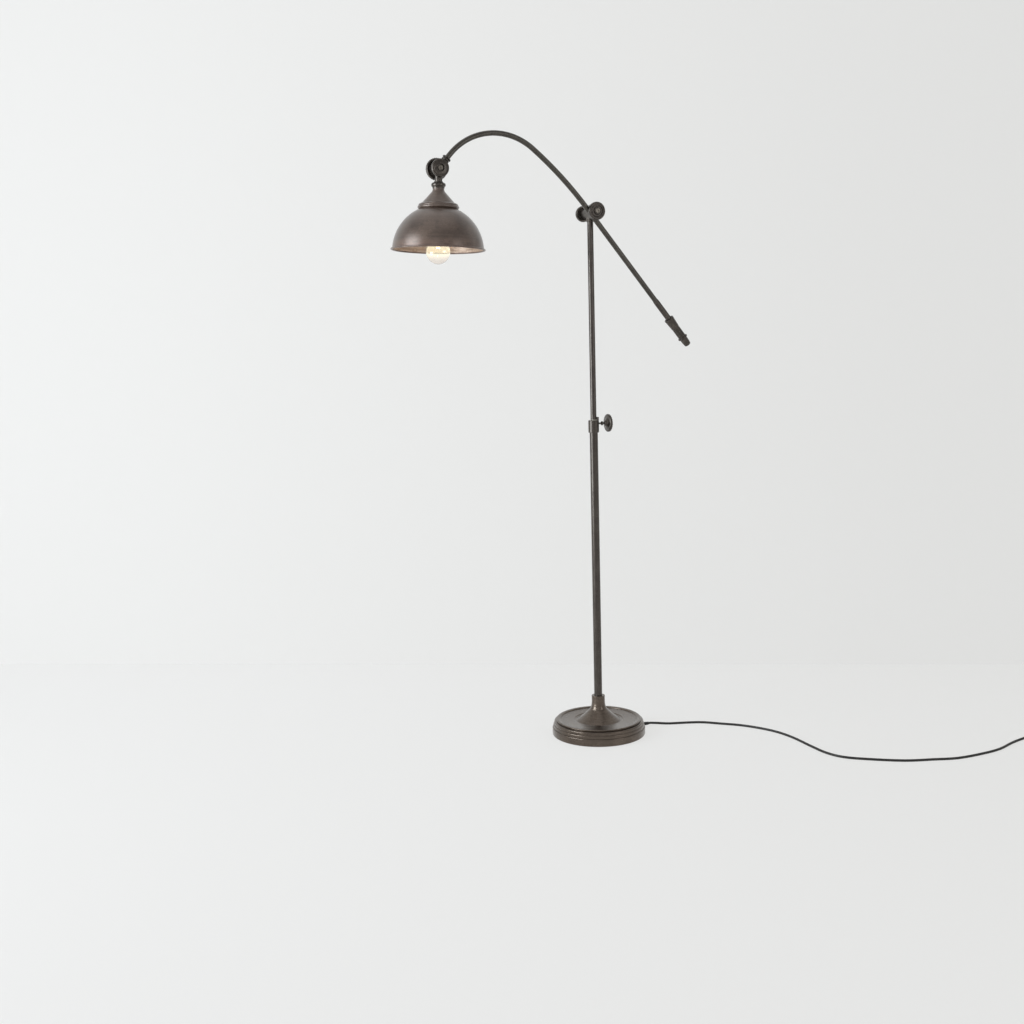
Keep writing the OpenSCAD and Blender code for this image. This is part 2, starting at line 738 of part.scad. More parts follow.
module pole_washer() {
    color("saddlebrown") translate([0, 0, bolt_z]) difference() {
        disc_y(-washer_y, barrel_r + 3, washer_t);
        disc_y(-washer_y - 1, bolt_r + run_fit, washer_t + 2);
    }
}

module pole_spring_washer() {
    color(steel) translate([0, 0, bolt_z]) difference() {
        disc_y(barrel_back, bolt_r * 2.4, spring_t);
        disc_y(barrel_back - 1, bolt_r + run_fit, spring_t + 2);
    }
}

module pole_nut() {
    color(dark) translate([0, 0, bolt_z]) knurled_nut(barrel_back + spring_t, pole_nut_r);
}

// ---- arm ----

module arm_hub() {
    color(bronze) difference() {
        translate([0, 0, bolt_z]) spun_y(-washer_y) polygon([
            [0, 0], [hub_r - 1.5, 0], [hub_r, 1.5], [hub_r, hub_t - 1.5], [hub_r - 1.5, hub_t], [0, hub_t]
        ]);
        on_tube(-2 * hub_r) cylinder(r = arm_r, h = 4 * hub_r);
        translate([0, 0, bolt_z]) disc_y(-2 * arm_y, bolt_r + run_fit, 2 * arm_y);
    }
}

module arm_dish() {
    hub = dish_r * 0.42;
    color(dark) translate([0, 0, bolt_z]) spun_y(hub_front) polygon(concat(
        [[bolt_r + run_fit, 0], [dish_r - 2, 0], [dish_r, 2], [dish_r, dish_t * 0.5]],
        arc([dish_r - 3.4, dish_t * 0.5], 3.4, 0, 90, 6),
        [
            [dish_r - 5, dish_t * 0.5 + 2], [dish_r - 6.5, dish_t * 0.5 + 2],
            [dish_r - 7.5, dish_t * 0.5 + 4], [hub + 1.5, dish_t * 0.5 + 2], [hub, dish_t * 0.5 + 2.5],
            [hub - 0.5, dish_t - 1], [hub - 1.6, dish_t], [bolt_r + 4.2, dish_t],
            [bolt_r + 3.6, dish_t - 3], [bolt_r + run_fit, dish_t - 3]
        ]
    ));
}

// A bolt along Y with a slotted cheese head at the front
module slotted_bolt(head_y, tail_y) {
    difference() {
        union() {
            disc_y(head_y, bolt_r, tail_y - head_y);
            disc_y(head_y - 3, bolt_r + 3.1, 3);
        }
        rotate([0, slot_turn, 0]) translate([-bolt_r * 3, head_y - 4, -0.8]) cube([bolt_r * 6, 2.4, 1.6]);
    }
}

module arm_bolt() {
    color(steel) translate([0, 0, bolt_z])
        slotted_bolt(hub_front - dish_t + 3, barrel_back + spring_t + nut_t + 1.5);
}

module arm_tube() {
    color(bronze) on_leg()
        swept_tube(arm_path(tube_foot, arm_stub, 0), arm_r, 24, arm_r - arm_wall, [0, 1, 0]);
}

module arm_lead() {
    shift = arm_r - arm_wall - lead_d / 2 - 0.15;
    color(black) on_leg()
        swept_tube(arm_path(lead_foot, arm_stub - spigot_in - 1, shift), lead_d / 2, 8, 0, [0, 1, 0]);
}

module tail_cup() {
    color(dark) on_tube(0) rotate([180, 0, 0]) rotate_extrude() polygon([
        [arm_r, swell_at], [swell_r - 0.4, swell_at], [swell_r, swell_at + 6], [swell_r, cup_at + 5],
        [cup_r - 1.6, cup_at], [cup_r - 0.6, cup_at], [cup_r, cup_at + 0.8], [cup_r, cup_at + 3],
        [grip_r + 0.6, grip_at - 2], [grip_r, grip_at], [arm_r, grip_at]
    ]);
}

module tail_grip() {
    color(bronze) on_tube(0) rotate([180, 0, 0]) difference() {
        translate([0, 0, grip_at]) cylinder(r = grip_r, h = grip_l);
        translate([0, 0, grip_at - 1]) cylinder(r = arm_r, h = tail_in + 1);
        for (z = [grip_at + 2.2, ring_at - 2.2])
            translate([0, 0, z]) rotate_extrude() translate([grip_r + 0.3, 0]) circle(0.9, $fn = 16);
    }
}

module tail_ring() {
    color(bronze) on_tube(0) rotate([180, 0, 0]) rotate_extrude() polygon([
        [0, ring_at], [ring_r - 1, ring_at], [ring_r, ring_at + 1], [ring_r, ring_at + ring_t - 1],
        [ring_r - 1, ring_at + ring_t], [0, ring_at + ring_t]
    ]);
}

module tail_cap() {
    color(dark) on_tube(0) rotate([180, 0, 0]) rotate_extrude() polygon(concat(
        [[0, cap_at], [grip_r - 1, cap_at], [grip_r - 0.3, cap_at + 2], [grip_r - 0.5, cap_at + cap_l * 0.5]],
        arc([cap_tip_r - 4, cap_at + cap_l - 4], 4, 20, 90, 5), [[0, cap_at + cap_l]]
    ));
}

module arm_ferrule() {
    rim = -knuckle_reach - 7;
    ring = rim + 7.2;
    high = -shank_at - 5;
    color(bronze) at_pivot_along_arm() rotate_extrude() polygon([
        [arm_r, rim], [ferrule_rim_r - 0.8, rim], [ferrule_rim_r, rim + 0.8],
        [ferrule_rim_r, rim + 2.4], [ferrule_rim_r - 0.8, rim + 3.2], [ferrule_r, rim + 3.2],
        [ferrule_r, ring - 1], [ferrule_ring_r - 0.7, ring - 1], [ferrule_ring_r, ring - 0.3],
        [ferrule_ring_r, ring + 1.3], [ferrule_ring_r - 0.7, ring + 2], [ferrule_r, ring + 2],
        [ferrule_r, high], [arm_r, high]
    ]);
}

module arm_knuckle() {
    stop = -shank_at - 5;
    color(bronze) difference() {
        union() {
            at_pivot_along_arm() {
                translate([0, 0, stop]) cylinder(r = neck_r - 0.5, h = 5);
                translate([0, 0, -knuckle_reach]) cylinder(r = arm_r, h = knuckle_reach + stop);
                translate([0, 0, -knuckle_reach - spigot_in])
                    cylinder(r = arm_r - arm_wall - 0.05, h = spigot_in + 1);
                intersection() {
                    translate([0, lap, -shank_at - 1]) translate([-eye_r, 0, 0])
                        cube([2 * eye_r, eye_t, shank_at + 1]);
                    translate([0, 0, -shank_at - 2]) cylinder(r = neck_r - 0.5, h = shank_at + 2);
                }
            }
            translate([pivot[0], 0, pivot[2]]) disc_y(-arm_y + lap, eye_r, eye_t);
        }
        translate([pivot[0], 0, pivot[2]]) disc_y(-arm_y - 1, bolt_r + run_fit, 2 * eye_t);
    }
}

module swivel_spring_washer() {
    color(steel) translate([pivot[0], 0, pivot[2]]) difference() {
        disc_y(swivel_back, bolt_r * 2.4, spring_t);
        disc_y(swivel_back - 1, bolt_r + run_fit, spring_t + 2);
    }
}

module swivel_nut() {
    color(dark) translate([pivot[0], 0, pivot[2]]) knurled_nut(swivel_back + spring_t, head_nut_r);
}

// ---- shade ----

module swivel_washer() {
    color("saddlebrown") translate([pivot[0], 0, pivot[2]]) difference() {
        disc_y(-arm_y - lap, eye_r - 1, 2 * lap);
        disc_y(-arm_y - 1, bolt_r + run_fit, 2);
    }
}

module shade_knuckle() {
    color(bronze) difference() {
        union() {
            on_shade() {
                translate([0, 0, -neck_h]) cylinder(r = neck_r, h = neck_h - shank_at);
                intersection() {
                    translate([-eye_r, -lap - eye_t, -shank_at - 1]) cube([2 * eye_r, eye_t, shank_at + 1]);
                    translate([0, 0, -shank_at - 2]) cylinder(r = neck_r, h = shank_at + 2);
                }
            }
            translate([pivot[0], 0, pivot[2]]) disc_y(-arm_y - lap - eye_t, eye_r, eye_t);
        }
        translate([pivot[0], 0, pivot[2]]) disc_y(-arm_y - 2 * eye_t, bolt_r + run_fit, 2 * eye_t + 1);
        on_shade() translate([0, 0, -neck_h - 1]) cylinder(r = thread_r + run_fit, h = 13);
    }
}

module swivel_face() {
    color(dark) translate([pivot[0], 0, pivot[2]]) spun_y(face_y) polygon(concat(
        [[bolt_r + run_fit, 0], [face_r - 1.5, 0], [face_r, 1.5], [face_r, face_t * 0.5]],
        arc([face_r - 3.5, face_t * 0.5], 3.5, 0, 80, 6),
        [
            [face_r * 0.6, face_t - 0.6], [face_r * 0.44, face_t], [face_r * 0.4, face_t - 0.5],
            [face_r * 0.38, face_t * 0.45], [bolt_r + run_fit, face_t * 0.45]
        ]
    ));
}

module swivel_bolt() {
    color(steel) translate([pivot[0], 0, pivot[2]])
        slotted_bolt(face_y - face_t * 0.45, swivel_back + spring_t + nut_t + 1.5);
}

module neck_bead() {
    mid = -knop_top - knop_h / 2;
    color(bronze) on_shade() difference() {
        rotate_extrude() polygon(concat(
            [[0, -waist_at], [waist_r + 0.8, -waist_at], [waist_r + 0.8, -waist_at + 1.4]],
            arc([knop_r - 6, mid], 6, -60, 60, 8),
            [[neck_r + 1.6, -knop_top - 1.6], [neck_r + 1.6, -knop_top], [0, -knop_top]]
        ));
        translate([0, 0, -waist_at - 1]) cylinder(r = thread_r + run_fit, h = knop_h + 2);
    }
}

module shade_cone() {
    w = shade_wall;
    color(bronze) on_shade() rotate_extrude($fn = 96) polygon(concat(
        [[waist_r, -waist_at]],
        [for (p = arc([waist_r + cone_bend, 0], cone_bend, 180, 180 + cone_angle, 8)) [p[0], p[1] - bend_at]],
        [[cone_foot_out, -cone_end], [cone_foot_out - w / cos(cone_angle), -cone_end]],
        [for (p = arc([waist_r + cone_bend, 0], cone_bend + w, 180 + cone_angle, 180, 8)) [p[0], p[1] - bend_at]],
        [[waist_r - w, -waist_at]]
    ));
}

module shade_ring() {
    w = shade_wall + 0.7;
    shoulder = cone_end + ring_top_h * 0.36;
    color(bronze) on_shade() rotate_extrude($fn = 120) polygon(concat(
        [[cone_foot_out - 6, -cone_end], [cone_foot_out + 2, -cone_end]],
        arc([ring_top_r - 7, -shoulder - 0.5], 5, 80, 10, 5),
        [[ring_top_r - 2.6, -shoulder - 1]],
        arc([ring_top_r - 4, -ring_end + 5.2], 4, 50, -50, 8),
        [
            [ring_top_r - 3, -ring_end], [dome_top_r - 5, -ring_end], [dome_top_r - 5, -ring_end + w],
            [ring_top_r - 4 - w, -ring_end + w], [ring_top_r - 5 - w, -shoulder - w],
            [cone_foot_out, -cone_end - w], [cone_foot_out - 6, -cone_end - w]
        ]
    ));
}

module shade_dome() {
    w = shade_wall;
    a_rim = asin(dome_sink / dome_r);
    color(bronze) on_shade() translate([0, 0, -dome_c]) rotate_extrude($fn = 180) {
        intersection() {
            difference() {
                circle(dome_r, $fn = 240);
                circle(dome_r - w, $fn = 240);
            }
            square_at(0, dome_sink, dome_r + 1, dome_h + dome_sink);
        }
        square_at(thread_r + run_fit, dome_h + dome_sink - w, dome_top_r, dome_h + dome_sink);
        translate([dome_r * cos(a_rim) + rim_wire_r * 0.8, dome_sink]) difference() {
            circle(rim_wire_r, $fn = 32);
            circle(rim_wire_r * 0.35, $fn = 24);
        }
    }
}

module shade_nipple() {
    high = -neck_h + 10;
    low = -holder_at + 1;
    color(steel) on_shade() translate([0, 0, low]) difference() {
        cylinder(r = thread_r, h = high - low);
        translate([0, 0, -1]) cylinder(r = nipple_bore_r, h = high - low + 2);
    }
}

module shade_lead() {
    color(black) on_shade() translate([0, 0, -holder_at - 2])
        cylinder(r = lead_d / 2, h = holder_at + 2 - neck_h + 6, $fn = 32);
}

module shade_locknut() {
    color(steel) on_shade() translate([0, 0, -ring_end - shade_wall - locknut_t]) difference() {
        cylinder(r = 9, h = locknut_t, $fn = 6);
        translate([0, 0, -1]) cylinder(r = thread_r + run_fit, h = locknut_t + 2);
    }
}

module holder_cap() {
    color(brass) on_shade() difference() {
        rotate_extrude() polygon(concat(
            [[0, -holder_at + 2], [8, -holder_at + 2]],
            arc([holder_r - 7, -holder_at - 5], 6, 80, 0, 6),
            [[holder_r - 1, -holder_at - 9], [0, -holder_at - 9]]
        ));
        translate([0, 0, -holder_at - 12]) cylinder(r = holder_r - 3, h = 9);
        translate([0, 0, -holder_at - 6]) cylinder(r = thread_r + run_fit, h = 10);
    }
}

module holder_shell() {
    top = -holder_at - 9;
    color(brass) on_shade() difference() {
        rotate_extrude() polygon([
            [0, top], [holder_r - 1, top], [holder_r, top - 1], [holder_r, -holder_mouth + 3],
            [holder_r + 0.8, -holder_mouth + 2], [holder_r + 0.8, -holder_mouth], [0, -holder_mouth]
        ]);
        translate([0, 0, -holder_mouth - 1]) cylinder(r = holder_r - 1, h = holder_l);
        translate([0, 0, -key_at]) rotate([-90, 0, 0]) cylinder(r = 3, h = holder_r + 3);
    }
}

module holder_core() {
    high = -holder_at - 9;
    color("whitesmoke") on_shade() difference() {
        translate([0, 0, -holder_mouth]) cylinder(r = holder_r - 1 - run_fit, h = high + holder_mouth);
        translate([0, 0, -holder_mouth - 1]) cylinder(r = cap_screw_r + 0.6, h = bulb_seat + 1.2);
        translate([0, 0, -key_at]) rotate([-90, 0, 0]) cylinder(r = 2.2, h = holder_r + 3);
    }
}

module holder_contact() {
    color(brass) on_shade() translate([0, 0, -bulb_tip - 0.2]) cylinder(r = 4, h = 0.2 + skin);
}

module switch_key() {
    color(dark) on_shade() translate([0, 0, -key_at]) {
        rotate([-90, 0, 0]) translate([0, 0, 6]) cylinder(r = 2.1, h = holder_r + key_l - 12);
        translate([0, holder_r + key_l - 7, 0]) rotate([90, 0, 0]) rotate([0, 90, 0])
            translate([0, 0, -1.6]) linear_extrude(3.2) {
                translate([-6, 0]) circle(6.5, $fn = 40);
                translate([6, 0]) circle(6.5, $fn = 40);
                square_at(-6, -4.5, 6, 4.5);
            }
    }
}

// Outline of the bulb below its neck, drawn in by an even amount
function bulb_outline(t) = concat(
    [[cap_screw_r - 1 - t, -bulb_tip - 18], [cap_screw_r - 1 - t, -holder_mouth]],
    [
        for (i = [0:7]) let (
            u = i / 8, v = 1 - u,
            a = [cap_screw_r - t, -holder_mouth - 2], b = [cap_screw_r - t, -holder_mouth - 14],
            d = [0.7071 * (bulb_r - t), -bulb_c + 0.7071 * (bulb_r - t)], c = d + [-7, 7]
        ) v * v * v * a + 3 * v * v * u * b + 3 * v * u * u * c + u * u * u * d
    ],
    arc([0, -bulb_c], bulb_r - t, 45, -90, 20)
);

module bulb_glass() {
    glass = 0.8;
    color([1, 0.95, 0.8, 0.6]) on_shade() rotate_extrude($fn = 72) difference() {
        polygon(concat([[0, -bulb_tip - 18]], bulb_outline(0)));
        polygon(concat([[0, -bulb_tip - 17]], bulb_outline(glass)));
    }
}

module bulb_cap() {
    color(brass) on_shade() difference() {
        rotate_extrude() polygon([
            [0, -bulb_tip - 0.2], [4.5, -bulb_tip - 0.2], [6, -bulb_tip - 3], [cap_screw_r, -bulb_tip - 7],
            [cap_screw_r, -holder_mouth + 0.5], [0, -holder_mouth + 0.5]
        ]);
        translate([0, 0, -holder_mouth - 1]) cylinder(r = cap_screw_r - 1 + run_fit, h = holder_mouth - bulb_tip - 17);
    }
}

module bulb_mount() {
    top = -bulb_tip - 18.8;
    color("lightyellow") on_shade() {
        translate([0, 0, top - 34]) cylinder(r1 = 2.2, r2 = 5.5, h = 34);
        for (s = [-1, 1])
            translate([0, 0, top - 33]) rotate([0, s * 14, 0]) translate([0, 0, -14])
                cylinder(r = 0.9, h = 15, $fn = 16);
        translate([-4.6, 0, top - 46.5]) rotate([0, 90, 0]) cylinder(r = 1.1, h = 9.2, $fn = 16);
    }
}

// ---- mains lead ----

// A rod through centre points, or a pipe where it has a bore, with each point's ring square to the
// path. The ring's first direction lies flat on the floor, or is the side that is given.
module swept_tube(points, r, sides, bore = 0, side = undef) {
    n = len(points);
    function unit(v) = v / norm(v);
    function ahead(i) = unit(points[min(i + 1, n - 1)] - points[max(i - 1, 0)]);
    function across(d) = is_undef(side) ? unit(cross([0, 0, 1], d)) : side;
    function rings(r) = [
        for (i = [0:n - 1]) let (d = ahead(i), s = across(d), up = cross(d, s))
            for (k = [0:sides - 1]) let (a = 360 * (k + 0.5) / sides) points[i] + r * (cos(a) * s + sin(a) * up)
    ];
    function walls(from) = [
        for (i = [0:n - 2], k = [0:sides - 1])
            let (a = from + i * sides + k, b = from + i * sides + (k + 1) % sides)
                each [[a, b, b + sides], [a, b + sides, a + sides]]
    ];
    function flipped(faces) = [for (f = faces) [f[2], f[1], f[0]]];
    inner = n * sides;
    last = (n - 1) * sides;
    discs = [for (k = [1:sides - 2]) each [[0, k + 1, k], [last, last + k, last + k + 1]]];
    rims = [
        for (k = [0:sides - 1]) let (m = (k + 1) % sides) each [
            [k, k + inner, m], [m, k + inner, m + inner],
            [last + k, last + m, last + k + inner], [last + m, last + m + inner, last + k + inner]
        ]
    ];
    polyhedron(
        points = bore > 0 ? concat(rings(r), rings(bore)) : rings(r),
        faces = bore > 0 ? concat(walls(0), flipped(walls(inner)), rims) : concat(walls(0), discs)
    );
}

// A smooth curve through hand-picked points
function between(p, i, u) = let (
    n = len(p), a = p[max(i - 1, 0)], b = p[i], c = p[i + 1], d = p[min(i + 2, n - 1)]
) 0.5 * (2 * b + (c - a) * u + (2 * a - 5 * b + 4 * c - d) * u * u + (3 * b - a - 3 * c + d) * u * u * u);
run_steps = 4;
run_curve = concat(
    [[flange_r + relief_l, 0, exit_z], [flange_r + relief_l + cord_d, -0.2, exit_z]],
    [for (i = [1:len(run_points) - 3], k = [0:run_steps - 1]) between(run_points, i, k / run_steps)],
    [coil_point(0) - [2 * cord_d, 0, 0], coil_point(0) - [cord_d, 0, 0], coil_point(0)]
);

// The coil at a number of turns from its start: in along the floor, then out on top
function coil_radius(t) = t < coil_turns ? coil_out - coil_pitch * t : coil_in + coil_pitch * (t - coil_turns);
function coil_height(t) = coil_low + coil_pitch * min(max((t - coil_turns + 0.25) * 2, 0), 1);
function coil_point(t) = [
    coil_c[0] + coil_radius(t) * sin(360 * t),
    coil_c[1] + coil_radius(t) * cos(360 * t),
    coil_height(t)
];
rings_per_turn = 24;
coil_rings = 2 * coil_turns * rings_per_turn;
coil_end = coil_point(2 * coil_turns);
coil_curve = concat(
    [coil_point(0), coil_point(0) + [cord_d, 0, 0]],
    [for (i = [2:coil_rings]) coil_point(i / rings_per_turn)],
    [coil_end + [tail_l / 2, 0, 0], coil_end + [tail_l - cord_d, 0, 0], coil_end + [tail_l, 0, 0]]
);
function away(i, j) = norm(coil_curve[i] - coil_curve[j]);
least_gap = min([for (i = [0:len(coil_curve) - 1], j = [0:len(coil_curve) - 1]) if (j > i + 8) away(i, j)]) - cord_d;
echo(least_gap_between_turns = least_gap);
function path_length(p) = len(p) < 2 ? 0 : sum_of([for (i = [1:len(p) - 1]) norm(p[i] - p[i - 1])]);
function sum_of(v) = v * [for (x = v) 1];
echo(run_length = path_length(run_curve), coil_length = path_length(coil_curve), run_rings = len(run_curve));
echo(pivot = pivot, bolt_z = bolt_z, screw_z = screw_z, plug_z = coil_end[2]);

module cord_run() {
    color(black) swept_tube(run_curve, cord_d / 2, 8);
}

module cord_coil() {
    color(black) swept_tube(coil_curve, cord_d / 2, 6);
}

module coil_tie() {
    strap = 1;
    room = 0.45;
    low = coil_in + coil_pitch / 4 - cord_d / 2 - room;
    high = coil_out - coil_pitch / 4 + cord_d / 2 + room;
    top = coil_low + coil_pitch + cord_d / 2 + room;
    color("white") translate([coil_c[0], coil_c[1], 0]) rotate([90, 0, 0]) translate([0, 0, -5])
        linear_extrude(10) difference() {
            square_at(low - strap, 0, high + strap, top + strap);
            square_at(low, strap, high, top);
        }
}

module plug_body() {
    z0 = coil_end[2];
    h = 2 * z0 - 0.2;
    color(black) translate([coil_end[0] + tail_l, coil_end[1], z0]) rotate([90, 0, 90]) {
        translate([0, 0, plug_l - 22]) linear_extrude(22) plug_face(plug_w, h);
        hull() {
            translate([0, 0, plug_l - 22]) linear_extrude(0.1) plug_face(plug_w, h);
            linear_extrude(0.1) circle(cord_d / 2 + 2, $fn = 32);
        }
    }
}

module plug_face(w, h) {
    e = 4;
    square_at(-w / 2 + e, -h / 2, w / 2 - e, h / 2);
    square_at(-w / 2, -h / 2 + e, w / 2, h / 2 - e);
    for (x = [-1, 1], y = [-1, 1])
        translate([x * (w / 2 - e), y * (h / 2 - e)]) circle(e, $fn = 32);
}

module plug_blades() {
    color(steel) translate([coil_end[0] + tail_l + plug_l, coil_end[1], coil_end[2]])
        for (s = [-1, 1])
            translate([0, s * blade_gap / 2 - 0.75, -3.15]) cube([blade_l, 1.5, 6.3]);
}

base_cover();
base_weight();
base_felt();
base_washer();
base_nut();
base_nipple();
stem_socket();
strain_relief();
lower_pole();
height_collar();
collar_bush();
base_lead();
cord_run();
cord_coil();
coil_tie();
plug_body();
plug_blades();
thumb_screw();
thumb_knob();
guide_bush();
upper_pole();
guide_ring();
pole_head();
pole_washer();
pole_spring_washer();
pole_lead();
pole_nut();
arm_hub();
arm_dish();
arm_bolt();
arm_tube();
tail_cup();
tail_grip();
tail_ring();
tail_cap();
arm_ferrule();
arm_knuckle();
arm_lead();
swivel_spring_washer();
swivel_nut();
swivel_washer();
shade_knuckle();
swivel_face();
swivel_bolt();
neck_bead();
shade_cone();
shade_ring();
shade_dome();
shade_nipple();
shade_lead();
shade_locknut();
holder_cap();
holder_shell();
holder_core();
holder_contact();
switch_key();
bulb_glass();
bulb_cap();
bulb_mount();
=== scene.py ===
# Bridge floor lamp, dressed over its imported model. Metres, +Z up; the shade hangs towards -X and
# the clutch bolts lie along Y. The file follows the lamp as it is put together.
import bmesh
import bpy
import math
from mathutils import Matrix, Vector


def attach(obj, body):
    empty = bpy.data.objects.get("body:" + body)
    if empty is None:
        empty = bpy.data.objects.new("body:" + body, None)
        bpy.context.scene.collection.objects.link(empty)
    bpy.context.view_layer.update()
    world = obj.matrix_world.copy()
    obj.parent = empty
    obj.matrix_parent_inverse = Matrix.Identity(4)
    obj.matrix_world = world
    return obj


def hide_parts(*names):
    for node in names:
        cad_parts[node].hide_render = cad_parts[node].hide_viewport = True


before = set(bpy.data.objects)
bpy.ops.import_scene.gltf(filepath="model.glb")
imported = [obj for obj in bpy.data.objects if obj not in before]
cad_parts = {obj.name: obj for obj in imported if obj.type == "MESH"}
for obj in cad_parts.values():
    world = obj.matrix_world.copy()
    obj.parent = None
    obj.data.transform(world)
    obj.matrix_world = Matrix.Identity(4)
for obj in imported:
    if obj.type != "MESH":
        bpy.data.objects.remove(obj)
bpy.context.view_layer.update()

# ---- The studio and the camera ----
# A pale floor meets a pale wall behind the lamp. The camera stands 3.4 m away and 1.1 m up, and
# looks a little down; a wide soft lamp on the left gives the long highlights on the poles.
eye = Vector((-1.4333, -3.0736, 1.0824))
heading = Matrix.Rotation(math.radians(3.778), 3, "Z") @ Vector((-eye.x, -eye.y, 0)).normalized()
down = math.radians(7.782)
forward = heading * math.cos(down) - Vector((0, 0, math.sin(down)))
level_right = heading.cross(Vector((0, 0, 1)))
lean = math.radians(-1.493)
right = level_right * math.cos(lean) + level_right.cross(forward) * math.sin(lean)
above = right.cross(forward)
camera = bpy.data.objects.new("camera", bpy.data.cameras.new("camera"))
camera.data.lens = 44.66
camera.data.sensor_width = 36
camera.data.clip_end = 60
camera.matrix_world = Matrix.Translation(eye) @ Matrix((right, above, -forward)).transposed().to_4x4()
bpy.context.collection.objects.link(camera)
bpy.context.scene.camera = camera
bpy.context.scene.view_settings.view_transform = "Standard"

picture = 1024
focal = camera.data.lens / camera.data.sensor_width * picture
skirting_row = 664


def floor_under(column, row):
    ray = forward * focal + right * (column - picture / 2) - above * (row - picture / 2)
    return eye - ray * (eye.z / ray.z)


class Wire:
    """A socket of a node tree that takes part in sums."""

    def __init__(self, tree, socket):
        self.tree, self.socket = tree, socket

    def node(self, kind, settings=None, sockets=None, out=0):
        made = self.tree.nodes.new(kind)
        for key, value in (settings or {}).items():
            setattr(made, key, value)
        for key, value in (sockets or {}).items():
            if isinstance(value, Wire):
                self.tree.links.new(value.socket, made.inputs[key])
            else:
                made.inputs[key].default_value = value
        return Wire(self.tree, made.outputs[out])

    def sum(self, operation, a, b):
        return self.node("ShaderNodeMath", {"operation": operation}, {0: a, 1: b})

    def __add__(self, other):
        return self.sum("ADD", self, other)

    def __radd__(self, other):
        return self.sum("ADD", other, self)

    def __sub__(self, other):
        return self.sum("SUBTRACT", self, other)

    def __rsub__(self, other):
        return self.sum("SUBTRACT", other, self)

    def __mul__(self, other):
        return self.sum("MULTIPLY", self, other)

    def __rmul__(self, other):
        return self.sum("MULTIPLY", other, self)

    def over(self, low, high):
        """0 below low, 1 above high, and smooth between."""
        return self.node("ShaderNodeMapRange", {"interpolation_type": "SMOOTHSTEP"},
                         {"Value": self, "From Min": low, "From Max": high})

    def between(self, low, high):
        """The colour low where this is 0, high where it is 1."""
        low, high = (end if isinstance(end, Wire) else (*end, 1) for end in (low, high))
        return self.node("ShaderNodeMix", {"data_type": "RGBA"}, {0: self, 6: low, 7: high}, out=2)

    def noise(self, scale, detail=2, roughness=0.5):
        """Noise over the places that this socket gives."""
        return self.node("ShaderNodeTexNoise", None,
                         {"Vector": self, "Scale": scale, "Detail": detail, "Roughness": roughness})

    def bump(self, strength, distance):
        """The normals of a surface with this height."""
        return self.node("ShaderNodeBump", None,
                         {"Height": self, "Strength": strength, "Distance": distance}, out="Normal")

    def measured_from(self, centre, tilt):
        """Places measured from a centre, along axes that lean about Y by tilt degrees."""
        return self.node("ShaderNodeMapping", {"vector_type": "TEXTURE"},
                         {"Vector": self, "Location": centre, "Rotation": (0, math.radians(tilt), 0)})

    def parts(self):
        """The x, y and z of these places."""
        split = self.node("ShaderNodeSeparateXYZ", None, {"Vector": self}).socket.node
        return [Wire(self.tree, socket) for socket in split.outputs]

    def reach(self):
        """How far these places are from the Z axis."""
        x, y = self.parts()[:2]
        return self.node("ShaderNodeMath", {"operation": "SQRT"}, {0: x * x + y * y})


def blank_material(name):
    material = bpy.data.materials.new(name)
    material.use_nodes = True
    tree = material.node_tree
    tree.nodes.clear()
    return material, Wire(tree, tree.nodes.new("ShaderNodeTexCoord").outputs["Object"])


def finished(material, surface):
    out = surface.tree.nodes.new("ShaderNodeOutputMaterial")
    surface.tree.links.new(surface.socket, out.inputs["Surface"])
    return material


def coated(material, place, sockets):
    """The material, finished with one Principled shader."""
    return finished(material, place.node("ShaderNodeBsdfPrincipled", None, sockets))


def studio_paint(name, colour, left_tone, right_tone, one_sided):
    """Pale backdrop paint that glows for the camera, with painted shade: its glow reads a little darker
    towards the right, away from the window.
    """
    material, place = blank_material(name)
    rays = place.node("ShaderNodeLightPath").socket.node.outputs
    seen, mirrored, through = (Wire(place.tree, rays["Is %s Ray" % kind])
                               for kind in ("Camera", "Glossy", "Transmission"))
    shown = seen + mirrored + through
    matte = place.node("ShaderNodeBsdfDiffuse", None, {"Color": (*colour, 1)})
    across = place.node("ShaderNodeVectorMath", {"operation": "DOT_PRODUCT"},
                        {0: place, 1: tuple(level_right)}, out="Value")
    bright, dim = (place.node("ShaderNodeEmission", None, {"Color": (*tone, 1), "Strength": 1})
                   for tone in (left_tone, right_tone))
    # Painted shade: the glow goes from the brighter left tone to the dimmer right tone across the view.
    plain = place.node("ShaderNodeMixShader", None, {0: across.over(-1.6, 2.0), 1: bright, 2: dim})
    share = place.node("ShaderNodeMath", {"operation": "MULTIPLY", "use_clamp": True}, {0: shown, 1: 0.8})
    surface = place.node("ShaderNodeMixShader", None, {0: share, 1: matte, 2: plain})
    if one_sided:
        behind = place.node("ShaderNodeNewGeometry", out="Backfacing")
        clear = place.node("ShaderNodeBsdfTransparent")
        surface = place.node("ShaderNodeMixShader", None, {0: behind, 1: surface, 2: clear})
    return finished(material, surface)


def new_piece(name, vertices, edges, faces, material=None):
    mesh = bpy.data.meshes.new(name)
    mesh.from_pydata([tuple(v) for v in vertices], edges, faces)
    if material:
        mesh.materials.append(material)
    made = bpy.data.objects.new(name, mesh)
    bpy.context.collection.objects.link(made)
    return made


def backdrop(name, corners, material):
    new_piece(name, corners, [], [(0, 1, 2, 3)], material)


